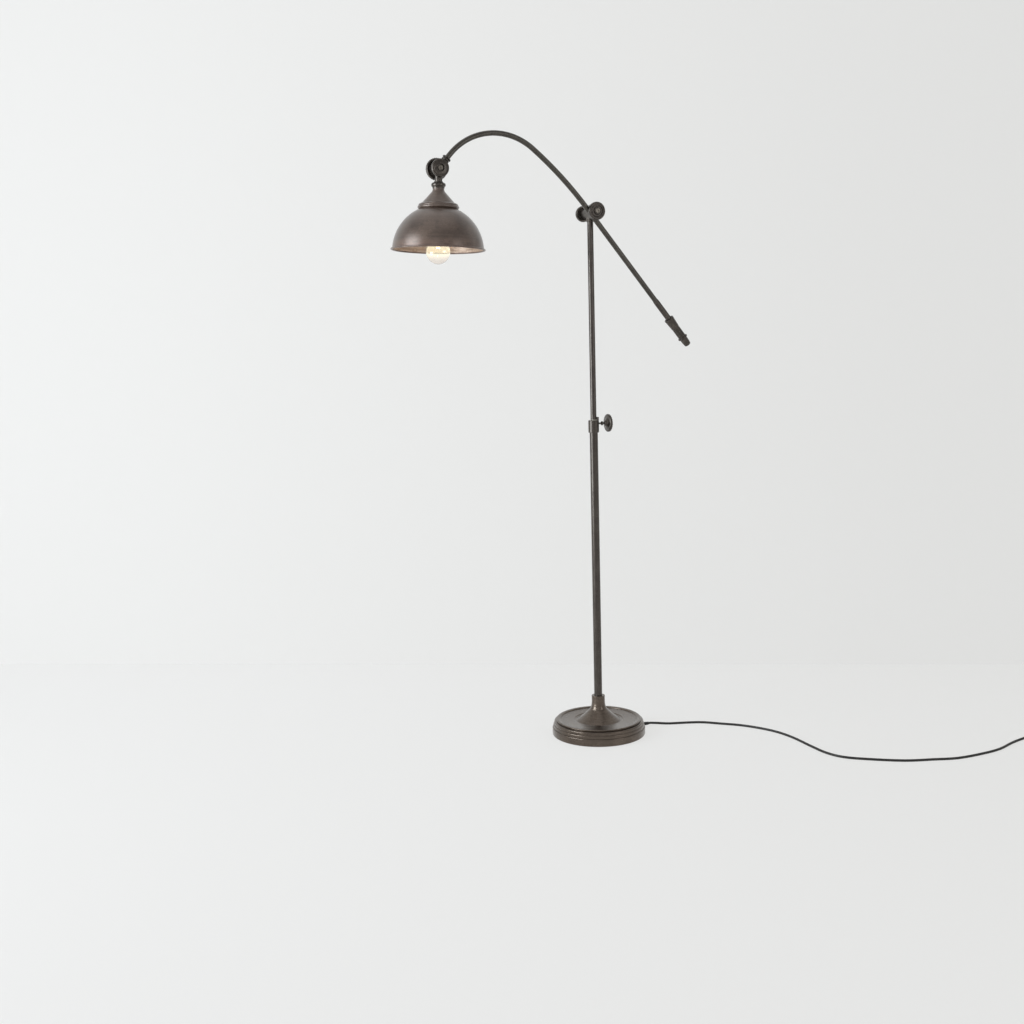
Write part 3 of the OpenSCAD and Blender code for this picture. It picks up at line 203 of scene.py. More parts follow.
wide = 14
backdrop("floor", [(-wide, -wide, 0), (wide, -wide, 0), (wide, wide, 0), (-wide, wide, 0)],
         studio_paint("floor paint", (0.76, 0.76, 0.76), (0.85, 0.85, 0.84), (0.80, 0.80, 0.785), False))
skirting_left, skirting_right = floor_under(0, skirting_row), floor_under(picture, skirting_row)
along_wall = (skirting_right - skirting_left).normalized()
wall_left, wall_right = skirting_left - along_wall * 6, skirting_right + along_wall * 6
wall_height = Vector((0, 0, 6))
backdrop("wall", [wall_left, wall_right, wall_right + wall_height, wall_left + wall_height],
         studio_paint("wall paint", (0.74, 0.74, 0.74), (0.83, 0.83, 0.815), (0.77, 0.77, 0.755), True))


def soft_lamp(name, place, target, width, height, power, colour=(1, 1, 1)):
    lamp = bpy.data.lights.new(name, "AREA")
    lamp.shape, lamp.size, lamp.size_y = "RECTANGLE", width, height
    lamp.energy, lamp.color = power, colour
    made = bpy.data.objects.new(name, lamp)
    back = Vector(place) - Vector(target)
    made.matrix_world = Matrix.Translation(place) @ back.to_track_quat("Z", "Y").to_matrix().to_4x4()
    bpy.context.collection.objects.link(made)


soft_lamp("window", (-3.5, -0.25, 1.5), (-0.1, 0, 0.9), 1.9, 2.9, 118, (0.88, 0.95, 1.0))
soft_lamp("front", (-2.2, -3.8, 2.4), (0, 0, 0.9), 2.2, 2.2, 12)
soft_lamp("bounce", (1.7, -3.4, 1.8), (0, 0, 0.9), 1.5, 2.0, 17)
soft_lamp("ceiling", (-0.6, -0.2, 3.4), (0, 0, 0), 2.4, 2.4, 9)
world = bpy.data.worlds.new("daylight")
world.use_nodes = True
sky = world.node_tree.nodes["Background"].inputs
sky["Color"].default_value = (0.86, 0.865, 0.87, 1)
sky["Strength"].default_value = 0.50
bpy.context.scene.world = world

# ---- Mains lead ----
# A round two-core lead with a matt sheath, 2.4 m long: it leaves the base through a rubber boot,
# lies on the floor in slow curves, and what the picture doesn't show is wound up and tied.
lead_d = 0.0065
exit_level = 0.0066
boot_end = (0.153, 0, exit_level)


def follow(points, steps):
    """A smooth curve through given points."""
    curve = []
    for i in range(1, len(points) - 2):
        a, b, c, d = (Vector(points[k]) for k in (i - 1, i, i + 1, i + 2))
        for k in range(steps):
            u = k / steps
            curve.append((2 * b + (c - a) * u + (2 * a - 5 * b + 4 * c - d) * u ** 2
                          + (3 * b - a - 3 * c + d) * u ** 3) / 2)
    return curve


floor_points = [
    (0.153, 0, 0.0066), (0.174, -0.0034, 0.0052), (0.210, -0.019, 0.0033), (0.288, -0.045, 0.0033),
    (0.336, -0.083, 0.0033), (0.386, -0.130, 0.0033), (0.428, -0.200, 0.0033), (0.444, -0.269, 0.0033),
    (0.446, -0.357, 0.0033), (0.450, -0.417, 0.0033), (0.469, -0.463, 0.0033), (0.514, -0.503, 0.0033),
    (0.589, -0.552, 0.0033), (0.660, -0.576, 0.0033), (0.722, -0.594, 0.0033), (0.801, -0.593, 0.0033),
    (0.864, -0.583, 0.0033), (0.927, -0.558, 0.0033), (0.980, -0.543, 0.0036), (1.022, -0.538, 0.0045),
    (1.066, -0.538, 0.0045),
]
turns, pitch, coil_mean = 2.5, lead_d + 0.00045, 0.0356
coil_low = 0.0012 + lead_d / 2
coil_outer = coil_mean + pitch * turns / 2
coil_inner = coil_mean - pitch * turns / 2
coil_middle = Vector((floor_points[-1][0], floor_points[-1][1] - coil_outer, 0))


def coil_place(t):
    """A point of the coil, t turns from its start: in along the floor, then out on top."""
    radius = coil_outer - pitch * t if t < turns else coil_inner + pitch * (t - turns)
    height = coil_low + pitch * min(max((t - turns + 0.25) * 2, 0), 1)
    return coil_middle + Vector((radius * math.sin(math.tau * t), radius * math.cos(math.tau * t), height))


coil_start, coil_end = coil_place(0), coil_place(2 * turns)
tail = 0.038
lead_path = [Vector(boot_end), Vector(boot_end) + Vector((lead_d, -0.0002, 0))] + follow(floor_points, 4)
lead_path += [coil_start + Vector((lead_d * step, 0, 0)) for step in (-2, -1, 0, 1)]
lead_path += [coil_place(i / 24) for i in range(2, int(48 * turns) + 1)]
lead_path += [coil_end + Vector((x, 0, 0)) for x in (tail / 2, tail - lead_d, tail)]
lead_path = [Vector((p.x, p.y, max(p.z, lead_d / 2 + 0.00003))) for p in lead_path]


def new_tree(name, inputs):
    """An empty Geometry Nodes tree with named inputs, and its input and output nodes."""
    tree = bpy.data.node_groups.new(name, "GeometryNodeTree")
    for label, kind in inputs:
        tree.interface.new_socket(label, in_out="INPUT", socket_type="NodeSocket" + kind)
    tree.interface.new_socket("Geometry", in_out="OUTPUT", socket_type="NodeSocketGeometry")
    return tree, tree.nodes.new("NodeGroupInput"), tree.nodes.new("NodeGroupOutput")


def wired(tree, kind, sockets):
    """A new node with these sockets set or linked. Gives its first output."""
    node = tree.nodes.new(kind)
    for key, value in sockets.items():
        if isinstance(value, bpy.types.NodeSocket):
            tree.links.new(value, node.inputs[key])
        else:
            node.inputs[key].default_value = value
    return node.outputs[0]


tube_tree, given, result = new_tree("tube along a path", [
    ("Path", "Geometry"), ("Radius", "Float"), ("Sides", "Int"), ("Material", "Material")])
line = wired(tube_tree, "GeometryNodeMeshToCurve", {"Mesh": given.outputs["Path"]})
ring = wired(tube_tree, "GeometryNodeCurvePrimitiveCircle",
             {"Radius": given.outputs["Radius"], "Resolution": given.outputs["Sides"]})
skin = wired(tube_tree, "GeometryNodeCurveToMesh", {"Curve": line, "Profile Curve": ring, "Fill Caps": True})
skin = wired(tube_tree, "GeometryNodeRealizeInstances", {"Geometry": skin})
skin = wired(tube_tree, "GeometryNodeSetMaterial", {"Geometry": skin, "Material": given.outputs["Material"]})
tube_tree.links.new(skin, result.inputs[0])


def grown(piece, tree, values):
    """Runs one Geometry Nodes tree on a piece and keeps the result as its plain mesh."""
    modifier = piece.modifiers.new(tree.name, "NODES")
    modifier.node_group = tree
    for item in tree.interface.items_tree:
        if item.in_out == "INPUT" and item.name in values:
            modifier[item.identifier] = values[item.name]
    ready = piece.evaluated_get(bpy.context.evaluated_depsgraph_get())
    mesh = bpy.data.meshes.new_from_object(ready)
    piece.modifiers.remove(modifier)
    piece.data = mesh


def shaded(piece, angle=35):
    """Smooth shading, with a crease where faces meet at more than this angle."""
    mesh = piece.data
    mesh.shade_smooth()
    mesh.set_sharp_from_angle(angle=math.radians(angle))
    return piece


def fitted(piece, body, nodes):
    """The piece rides on its body and stands for these CAD nodes."""
    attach(piece, body)
    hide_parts(*nodes)
    return piece


def along(name, points, radius, sides, material):
    """A round tube or wire along a path, in metres."""
    piece = new_piece(name, points, [(i, i + 1) for i in range(len(points) - 1)], [])
    grown(piece, tube_tree, {"Radius": radius, "Sides": sides, "Material": material})
    return shaded(piece, 50)


def plastic(name, colour, dusty, roughness, grain):
    """Moulded plastic or rubber: a fine grain, a little dust, and roughness that wanders."""
    material, place = blank_material(name)
    fine, broad = place.noise(grain, 3), place.noise(55, 4)
    return coated(material, place, {
        "Base Color": (0.75 * broad.over(0.42, 0.72)).between(colour, dusty), "Specular IOR Level": 0.42,
        "Roughness": roughness + 0.14 * (broad - 0.5) + 0.1 * (fine - 0.5),
        "Normal": fine.bump(0.22, 0.0002)})


sheath = plastic("lead sheath", (0.010, 0.009, 0.008), (0.030, 0.027, 0.023), 0.46, 900.0)
mains_lead = along("mains_lead", lead_path, lead_d / 2, 18, sheath)
fitted(mains_lead, "stand", ["cord_run", "cord_coil"])

# ---- Boot, tie and plug ----
# The boot is soft rubber with grooves that let it bend. The tie is a flat white strap, and the
# plug a moulded one with finger grooves and two flat blades.


def at(*steps):
    """One place made of several moves: ("move", x, y, z) or ("turn", axis, degrees), outermost first."""
    place = Matrix.Identity(4)
    for kind, *values in steps:
        if kind == "move":
            place = place @ Matrix.Translation(values)
        else:
            place = place @ Matrix.Rotation(math.radians(values[1]), 4, values[0])
    return place


def eased(profile, cut, steps=3):
    """The profile with its corners rounded off, so that each edge catches the light."""
    round_profile = []
    for i, corner in enumerate(profile):
        here = Vector(corner)
        coming, going = here - Vector(profile[i - 1]), Vector(profile[(i + 1) % len(profile)]) - here
        turn = coming.angle(going, 0) if coming.length and going.length else 0
        if here.x < 1e-6 or turn < 0.3:
            round_profile.append(here)
            continue
        start = here - coming.normalized() * min(cut, 0.42 * coming.length)
        end = here + going.normalized() * min(cut, 0.42 * going.length)
        for k in range(steps + 1):
            u = k / steps
            round_profile.append(start * (1 - u) ** 2 + here * 2 * u * (1 - u) + end * u ** 2)
    return round_profile


def bow(centre, radius, start, end, steps):
    """Points of an arc in a profile, in degrees."""
    angles = [math.radians(start + (end - start) * i / steps) for i in range(steps + 1)]
    return [(centre[0] + radius * math.cos(a), centre[1] + radius * math.sin(a)) for a in angles]


def spun(name, profile, place, material, sides=96, cut=0.4, angle=35):
    """A closed profile of (radius, height) in millimetres, turned about its axis."""
    outline = [(p[0] / 1000, p[1] / 1000) for p in (eased(profile, cut) if cut else profile)]
    piece = new_piece(name, [], [], [], material)
    shape = bmesh.new()
    rings = []
    for k in range(sides):
        a = math.tau * k / sides
        rings.append([shape.verts.new((r * math.cos(a), r * math.sin(a), z)) for r, z in outline])
    for k in range(sides):
        here, there = rings[k], rings[(k + 1) % sides]
        for i in range(len(outline)):
            j = (i + 1) % len(outline)
            if outline[i][0] > 1e-7 or outline[j][0] > 1e-7:
                shape.faces.new((here[i], there[i], there[j], here[j]))
    bmesh.ops.remove_doubles(shape, verts=shape.verts, dist=1e-7)
    bmesh.ops.dissolve_degenerate(shape, edges=shape.edges, dist=1e-8)
    bmesh.ops.recalc_face_normals(shape, faces=shape.faces)
    shape.to_mesh(piece.data)
    shape.free()
    piece.data.transform(place)
    return shaded(piece, angle)


def machined(node, body, material, edge=0.3):
    """A merged copy of a CAD node, with its corners eased and its curved faces shaded smooth."""
    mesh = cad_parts[node].data.copy()
    mesh.name = node + "_finished"
    piece = bpy.data.objects.new(node + "_finished", mesh)
    bpy.context.collection.objects.link(piece)
    shape = bmesh.new()
    shape.from_mesh(mesh)
    bmesh.ops.remove_doubles(shape, verts=shape.verts, dist=2e-6)
    bmesh.ops.dissolve_limit(shape, angle_limit=math.radians(0.4), verts=shape.verts, edges=shape.edges)
    shape.to_mesh(mesh)
    shape.free()
    mesh.materials.clear()
    mesh.materials.append(material)
    for polygon in mesh.polygons:
        polygon.material_index = 0
    shaded(piece, 32)
    if edge:
        bevel = piece.modifiers.new("eased edges", "BEVEL")
        bevel.width, bevel.segments, bevel.limit_method = edge / 1000, 2, "ANGLE"
        bevel.angle_limit = math.radians(32)
        flat = piece.modifiers.new("flat faces", "WEIGHTED_NORMAL")
        flat.keep_sharp = True
    return fitted(piece, body, [node])


def repaint(material, *nodes):
    """Inner CAD nodes keep their shape and get a finish."""
    for node in nodes:
        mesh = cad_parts[node].data
        mesh.materials.clear()
        mesh.materials.append(material)


boot_rubber = plastic("boot rubber", (0.014, 0.013, 0.012), (0.05, 0.046, 0.042), 0.58, 1400.0)
boot_profile = [(2.4, 0), (4.35, 0), (4.35, 4.4), (5.65, 4.4), (5.65, 7), (5.25, 8)]
for ring_number in range(7):
    foot = 9.2 + 2.7 * ring_number
    outer = 5.25 - 1.1 * (foot - 8) / 22
    boot_profile += [(outer, foot), (outer - 0.75, foot + 0.4), (outer - 0.8, foot + 1.1),
                     (outer - 0.1, foot + 1.5)]
boot_profile += [(4.15, 30), (3.3, 30), (3.2, 4)]
boot_place = at(("move", 0.123, 0, exit_level), ("turn", "Y", 90))
boot = spun("boot", boot_profile, boot_place, boot_rubber, 48, 0.15)
fitted(boot, "stand", ["strain_relief"])

strap_white = plastic("strap plastic", (0.62, 0.62, 0.59), (0.52, 0.51, 0.47), 0.5, 600.0)
tie = machined("coil_tie", "stand", strap_white, 0.35)

plug_black = plastic("plug plastic", (0.018, 0.016, 0.015), (0.05, 0.046, 0.042), 0.44, 1100.0)
plug_from = coil_end + Vector((tail, 0, 0))
plug_sides = 40
plug_stations = [(0.0, 5.2, 5.2, 2.0), (1.0, 5.25, 5.25, 2.0), (4.0, 6.6, 6.4, 2.1), (8.0, 9.2, 8.6, 2.5),
                 (12.0, 11.8, 10.2, 3.0), (14.0, 12.9, 10.9, 3.6), (15.0, 13.3, 11.1, 4.0)]
plug_rib, plug_groove = (13.35, 11.15, 4.4), (12.7, 10.6, 4.4)
for foot in (17.4, 21.4, 25.4):
    plug_stations += [(foot, *plug_rib), (foot + 0.5, *plug_groove), (foot + 1.7, *plug_groove),
                      (foot + 2.2, *plug_rib)]
plug_stations[-1:] = [(27.6, 13.4, 11.2, 4.6), (34.6, 13.4, 11.2, 4.6), (35.7, 13.0, 10.8, 4.6),
                      (36.0, 12.2, 10.0, 4.6)]
plug_points, plug_faces = [], []
for length, half_width, half_height, square in plug_stations:
    for k in range(plug_sides):
        a = math.tau * k / plug_sides
        c, s = math.cos(a), math.sin(a)
        y = half_width * math.copysign(abs(c) ** (2 / square), c)
        z = half_height * math.copysign(abs(s) ** (2 / square), s)
        plug_points.append(plug_from + Vector((length, y, z)) / 1000)
for i in range(len(plug_stations) - 1):
    low, high = i * plug_sides, (i + 1) * plug_sides
    for k in range(plug_sides):
        j = (k + 1) % plug_sides
        plug_faces.append((low + k, low + j, high + j, high + k))
plug_faces.append(tuple(range(plug_sides))[::-1])
plug_faces.append(tuple((len(plug_stations) - 1) * plug_sides + k for k in range(plug_sides)))
plug = shaded(new_piece("plug", plug_points, [], plug_faces, plug_black), 40)
fitted(plug, "stand", ["plug_body"])


def plated(name, colour, stain, roughness):
    """Drawn or plated metal: fine scratches and a light stain."""
    material, place = blank_material(name)
    cloud, fine = place.noise(160, 5), place.noise(2400)
    return coated(material, place, {
        "Base Color": (0.8 * cloud.over(0.45, 0.7)).between(colour, stain), "Metallic": 1.0,
        "Roughness": roughness + 0.2 * (cloud - 0.5) + 0.08 * (fine - 0.5),
        "Normal": fine.bump(0.12, 0.0001)})


nickel = plated("nickel plate", (0.60, 0.57, 0.50), (0.42, 0.38, 0.31), 0.28)
blades = machined("plug_blades", "stand", nickel, 0.25)
inner_lead = 0.0023
lead_bend = 0.008
base_lead_path = [(x, 0, exit_level) for x in (0.127, 0.06, lead_bend)]
for degrees in range(15, 91, 15):
    a = math.radians(degrees)
    base_lead_path.append((lead_bend * (1 - math.sin(a)), 0, exit_level + lead_bend * (1 - math.cos(a))))
base_lead_path += [(0, 0, 0.12), (0, 0, 0.2254)]
base_lead = along("base_lead_inside", base_lead_path, inner_lead, 16, sheath)
fitted(base_lead, "stand", ["base_lead"])

# ---- Base ----
# A spun steel cover in four steps with a concave cone, finished in aged bronze, over an iron
# weight on a felt pad. A threaded tube and a nut hold the stem socket to it.


def bronze(name, deep, middle, worn, grain, marks, centre=(0, 0, 0), tilt=0, rough=0.36, metal=0.9, cast=0.3,
           coat=0.25, warm_reflection_depths=None):
    """Aged bronze: clouds of brown, faint marks of the spinning or drawing, and rubbed specks.
    marks is "rings" for what was spun about Z, or "lines" for what was drawn along Z. The last argument gives
    the depths, below the centre, where a painted warm reflection near the rim starts and where it is full."""
    material, place = blank_material(name)
    place = place.measured_from(centre, tilt)
    x, y, z = place.parts()
    cloud, speck = place.noise(26, 6, 0.6), place.noise(grain, 3)
    if marks == "rings":
        flow = {"X": place.reach() * 3.5, "Y": z * 3.5, "Z": 0.35 * cloud}
    else:
        flow = {"X": x * 8, "Y": y * 8, "Z": z * 0.25}
    mark = place.node("ShaderNodeCombineXYZ", None, flow).noise(60, 4)
    tone = (0.5 * cloud.over(0.3, 0.72) + 0.5 * mark.over(0.3, 0.7)).between(deep, middle)
    # Painted warm reflection: below the centre, near the rim, the tone is mixed towards a warm copper colour.
    if warm_reflection_depths:
        warm_reflection_colour = (0.210, 0.112, 0.078)
        tone = (0.3 * (0.0 - z).over(*warm_reflection_depths) * mark.over(0.25, 0.6)).between(tone, warm_reflection_colour)
    rubbed = speck.over(0.58, 0.72) * cloud.over(0.35, 0.65)
    return coated(material, place, {
        "Base Color": (0.55 * rubbed).between(tone, worn), "Metallic": metal,
        "Coat Weight": coat, "Coat Roughness": 0.7 * rough,
        "Roughness": rough + 0.16 * (cloud - 0.5) + 0.14 * (mark - 0.5) + 0.1 * (speck - 0.5),
        "Normal": (0.35 * mark + cast * speck).bump(0.3, 0.0003)})


base_bronze = bronze("base bronze", (0.070, 0.051, 0.038), (0.132, 0.101, 0.076), (0.33, 0.27, 0.23), 700.0,
                     "rings", rough=0.31, coat=0.55)
cover_profile = bow((124.8, 3), 2.2, -90, 0, 6) + bow((124.8, 18.6), 2.2, 0, 90, 7)
cover_profile += [(124.3, 20.9)] + bow((121.5, 26.8), 3, 0, 80, 9) + [(121.8, 29.9)]
cover_profile += bow((119, 34.8), 3, 0, 80, 9) + [(114.6, 37.8), (114.6, 38.8)]
cover_profile += bow((113.8, 41.1), 2.2, -60, 90, 10)
cover_profile += [(105.2, 43.2), (104.2, 42.2), (103.6, 40.9), (102, 40.6)]
cover_profile += bow((67.6, 39.2), 1.4, 90, 170, 6) + [(65.2, 38.9), (62.6, 38.6)]
cone_foot_place, cone_neck_place, cone_hollow = Vector((62, 37.8)), Vector((24, 69)), 1.5
cone_side = cone_neck_place - cone_foot_place
cone_sweep = (cone_side.length ** 2 / 4 + cone_hollow ** 2) / (2 * cone_hollow)
cone_way = Vector((cone_side.y, -cone_side.x)) / cone_side.length
cone_middle = cone_foot_place + cone_side / 2 + (cone_sweep - cone_hollow) * cone_way
cone_from, cone_to = (math.degrees(math.atan2(*(end - cone_middle).yx))
                      for end in (cone_foot_place, cone_neck_place))
gutter_end = cone_from - 0.6  # the dressed gutter is shallow, so that no black line shows there
cover_profile += bow(cone_middle, cone_sweep, gutter_end, cone_to, 22)
cover_profile += [(22.1, 71.6), (20.7, 75.05), (19.6, 78.6), (5.05, 78.6), (5.05, 77), (18, 77), (19.3, 73.8)]
cover_profile += bow(cone_middle, cone_sweep + 1.6, cone_to, cone_from, 14)
cover_profile += [(64, 36.2), (69.6, 36.2), (69.6, 39), (102.4, 39), (102.4, 35.8), (117.4, 35.8)]
cover_profile += [(117.4, 26.8), (119.9, 26.8), (119.9, 18.3), (124.8, 18.3), (124.8, 0.8)]
cover = spun("base_cover_spun", cover_profile, at(), base_bronze, 200, 0, 50)
fitted(cover, "stand", ["base_cover"])

socket_profile = [(11.05, 87.6), (11.05, 107.6), (17.2, 107.6), (18, 106.8), (18, 90.6), (18.4, 85.1),
                  (18.88, 81.6), (19.6, 78.6), (5.05, 78.6), (5.05, 87.6)]
stem_socket = spun("stem_socket_turned", socket_profile, at(), base_bronze, 96, 0.3)
fitted(stem_socket, "stand", ["stem_socket"])
iron = bronze("cast iron", (0.03, 0.03, 0.032), (0.06, 0.058, 0.056), (0.10, 0.09, 0.08), 420.0, "rings",
              rough=0.62, metal=0.6, cast=0.9)
felt_material, felt_place = blank_material("black felt")
fuzz = felt_place.noise(1500, 5)
felt = coated(felt_material, felt_place, {
    "Base Color": fuzz.between((0.012, 0.012, 0.013), (0.055, 0.053, 0.05)), "Roughness": 0.9 + 0.1 * fuzz,
    "Normal": fuzz.bump(0.8, 0.0006)})
zinc = plated("zinc plate", (0.46, 0.46, 0.45), (0.33, 0.32, 0.30), 0.38)
repaint(iron, "base_weight")
repaint(felt, "base_felt")
repaint(zinc, "base_washer", "base_nut", "base_nipple")

# ---- Lower pole and height collar ----
# Drawn steel tube in a darker bronze. The brazed collar has a lug that the thumb screw goes
# through, and a nylon bush that the upper pole slides in.
pole_bronze = bronze("pole bronze", (0.040, 0.031, 0.026), (0.080, 0.068, 0.058), (0.20, 0.18, 0.16), 600.0,
                     "lines", rough=0.30, coat=0.5)
lower_profile = [(9.8, 87.6), (11, 87.6), (11, 845.8), (9.8, 845.8)]
lower_pole = spun("lower_pole_drawn", lower_profile, at(), pole_bronze, 72, 0)
fitted(lower_pole, "stand", ["lower_pole"])
machined("height_collar", "stand", pole_bronze, 0.5)
nylon = plastic("nylon", (0.48, 0.46, 0.40), (0.40, 0.37, 0.31), 0.42, 500.0)
machined("collar_bush", "stand", nylon, 0.3)
repaint(nylon, "guide_bush")

# ---- Thumb screw ----
# A blackened screw with a bead on its neck, and a cast disc knob with a ring of beads that give
# the fingers hold.
stud_tree, given, result = new_tree("ring of studs", [
    ("Body", "Geometry"), ("Count", "Int"), ("Ring", "Float"), ("Radius", "Float"), ("Stretch", "Float"),
    ("Level", "Float"), ("Material", "Material")])
seats = wired(stud_tree, "GeometryNodeMeshCircle",
              {"Vertices": given.outputs["Count"], "Radius": given.outputs["Ring"]})
rise = wired(stud_tree, "ShaderNodeCombineXYZ", {"Z": given.outputs["Level"]})
seats = wired(stud_tree, "GeometryNodeTransform", {"Geometry": seats, "Translation": rise})
stud = wired(stud_tree, "GeometryNodeMeshUVSphere",
             {"Segments": 10, "Rings": 6, "Radius": given.outputs["Radius"]})
long = wired(stud_tree, "ShaderNodeCombineXYZ", {"X": 1.0, "Y": 1.0, "Z": given.outputs["Stretch"]})
studs = wired(stud_tree, "GeometryNodeInstanceOnPoints", {"Points": seats, "Instance": stud, "Scale": long})
studs = wired(stud_tree, "GeometryNodeRealizeInstances", {"Geometry": studs})
studs = wired(stud_tree, "GeometryNodeSetMaterial",
              {"Geometry": studs, "Material": given.outputs["Material"]})
both = stud_tree.nodes.new("GeometryNodeJoinGeometry")
stud_tree.links.new(given.outputs["Body"], both.inputs[0])
stud_tree.links.new(studs, both.inputs[0])
stud_tree.links.new(both.outputs[0], result.inputs[0])


def studded(piece, count, ring_radius, radius, stretch, level, material):
    """Adds a ring of studs to a piece that still lies about its own axis. Sizes in millimetres."""
    grown(piece, stud_tree, {"Count": count, "Ring": ring_radius / 1000, "Radius": radius / 1000,
                             "Stretch": stretch, "Level": level / 1000, "Material": material})


cast_bronze = bronze("cast bronze", (0.028, 0.023, 0.019), (0.088, 0.073, 0.061), (0.44, 0.39, 0.34), 430.0,
                     "rings", rough=0.33, cast=1.6, coat=0.4)
screw_steel = plated("blackened steel", (0.085, 0.078, 0.070), (0.045, 0.038, 0.033), 0.36)
machined("thumb_screw", "thumb_knob", screw_steel, 0.25)
knob_profile = [(2.45, 0), (5.5, 0), (7, 1.5), (9, 4.5), (16, 7.8)] + bow((19.7, 11.6), 3.8, -80, 80, 12)
knob_profile += [(17.4, 16.5), (16.8, 15.9), (15.2, 16.2), (14.2, 17.6), (9.6, 19), (5, 19.7), (0, 20),
                 (0, 12), (2.45, 12)]
knob = spun("thumb_knob_cast", knob_profile, at(), cast_bronze, 96, 0.3)
studded(knob, 22, 22.5, 1.4, 2.6, 11.6, cast_bronze)
studded(knob, 16, 16.2, 0.9, 1.0, 16.1, cast_bronze)
shaded(knob, 45)
knob.data.transform(at(("move", 0.03125, 0, 0.8516), ("turn", "Y", 90)))
fitted(knob, "thumb_knob", ["thumb_knob"])

# ---- Upper pole and pole head ----
# The thinner pole slides in the collar on its nylon bush. Its cast head carries the arm's bolt,
# with a fibre washer in front and a knurled nut behind.
upper_profile = [(5.2, 540.4), (6.6, 540.4), (6.6, 569.4), (8, 569.4), (8, 1392), (6.8, 1392), (6.8, 574),
                 (5.2, 574)]
upper_pole = spun("upper_pole_drawn", upper_profile, at(), pole_bronze, 64, 0)
fitted(upper_pole, "mast", ["upper_pole"])
pole_lead_path = [(0.0029, 0, 0.5374), (0.0029, 0, 0.9), (0.0029, 0, 1.388)]
pole_lead = along("pole_lead_inside", pole_lead_path, inner_lead, 16, sheath)
fitted(pole_lead, "mast", ["pole_lead"])
repaint(zinc, "guide_ring")
machined("pole_head", "mast", cast_bronze, 0.5)
machined("pole_spring_washer", "mast", zinc, 0.15)
fibre_material, fibre_place = blank_material("vulcanised fibre")
fibre_grain = fibre_place.noise(700, 6)
fibre = coated(fibre_material, fibre_place, {
    "Base Color": fibre_grain.over(0.3, 0.7).between((0.05, 0.022, 0.012), (0.12, 0.06, 0.035)),
    "Roughness": 0.55 + 0.25 * fibre_grain})
machined("pole_washer", "mast", fibre, 0.2)
clutch_level = 1.402
bolt_place = at(("move", 0, 0, clutch_level))
bolt_steel = plated("rubbed steel", (0.15, 0.135, 0.115), (0.08, 0.070, 0.060), 0.3)


def hand_nut(name, radius, back, place, body, node):
    """A knurled hand nut: flutes round its rim and a beaded groove in each face."""
    groove, depth = radius * 0.68, radius * 0.1
    profile = [(3.05, 0), (groove - depth, 0)] + bow((groove, 0), depth, 180, 0, 8)[1:-1]
    profile += [(groove + depth, 0), (radius - 2.4, 0), (radius - 1.2, 1.4), (radius - 1.2, 8.6)]
    profile += [(radius - 2.4, 10), (groove + depth, 10)] + bow((groove, 10), depth, 0, -180, 8)[1:-1]
    profile += [(groove - depth, 10), (3.05, 10)]
    nut = spun(name, profile, at(), cast_bronze, 108, 0.2)
    studded(nut, 36, radius - 1.15, 1.1, 3.6, 5, cast_bronze)
    for level in (depth - 1.3, 10 - depth + 1.3):
        studded(nut, 18, groove, 1.2, 1.0, level, cast_bronze)
    shaded(nut, 45)
    nut.data.transform(place @ at(("move", 0, back / 1000, 0), ("turn", "X", -90)))
    fitted(nut, body, [node])


hand_nut("pole_hand_nut", 21, 39.2, bolt_place, "pole_nut", "pole_nut")

# ---- Arm clutch ----
# The hub is clamped on the bent arm tube and turns on the bolt. A dished cast disc covers it in
# front, round the slotted bolt head.
machined("arm_hub", "arm", cast_bronze, 0.5)
dish_profile = [(3.05, 0), (21, 0), (23, 2), (23, 6.9)] + bow((19.9, 6.9), 3.1, 0, 90, 8)
dish_profile += [(18.8, 10.0), (18.4, 8.6), (17.0, 8.5)] + bow((15.3, 9.0), 1.6, 10, 170, 7)
dish_profile += [(13.4, 8.7), (11.6, 8.6), (10.1, 9.1), (9.6, 12.5), (8.5, 13.5), (7.2, 13.5), (6.6, 10.5),
                 (3.05, 10.5)]
dish_place = bolt_place @ at(("move", 0, -0.036, 0), ("turn", "X", 90))
dish = spun("arm_dish_cast", dish_profile, dish_place, cast_bronze, 96, 0.35)
fitted(dish, "arm", ["arm_dish"])
machined("arm_bolt", "arm", bolt_steel, 0.25)

# ---- Arm ----
# One drawn tube: a long slow bow, a tight crook over the shade, and a straight leg whose tail is
# the handle. The lead runs inside.
clutch, arm_lean = (0, -0.026, clutch_level), -39.4
leg = at(("move", *clutch), ("turn", "Y", arm_lean))
bow_radius, bow_turn, crook_radius, crook_turn = 1.0, 12, 0.1605, 87
stub, clutch_rise, side = 0.02, 0.017, 0.011
bow_middle = Vector((-side - bow_radius, clutch_rise))


def towards(degrees):
    return Vector((math.cos(math.radians(degrees)), math.sin(math.radians(degrees))))


crook_middle = bow_middle + (bow_radius - crook_radius) * towards(bow_turn)
end_turn = bow_turn + crook_turn
end_way = Vector((-math.sin(math.radians(end_turn)), math.cos(math.radians(end_turn))))


def arm_route(low, past, shift):
    """Points of the arm's axis, or of a line beside it, from below the clutch to past the crook."""
    flat = [Vector((-side - shift, -low)), Vector((-side - shift, -low / 2))]
    flat += [bow_middle + (bow_radius - shift) * towards(bow_turn * i / 8) for i in range(9)]
    flat += [crook_middle + (crook_radius - shift) * towards(bow_turn + crook_turn * i / 44)
             for i in range(1, 45)]
    flat.append(crook_middle + (crook_radius - shift) * towards(end_turn) + end_way * past)
    return [leg @ Vector((p.x, 0, p.y)) for p in flat]


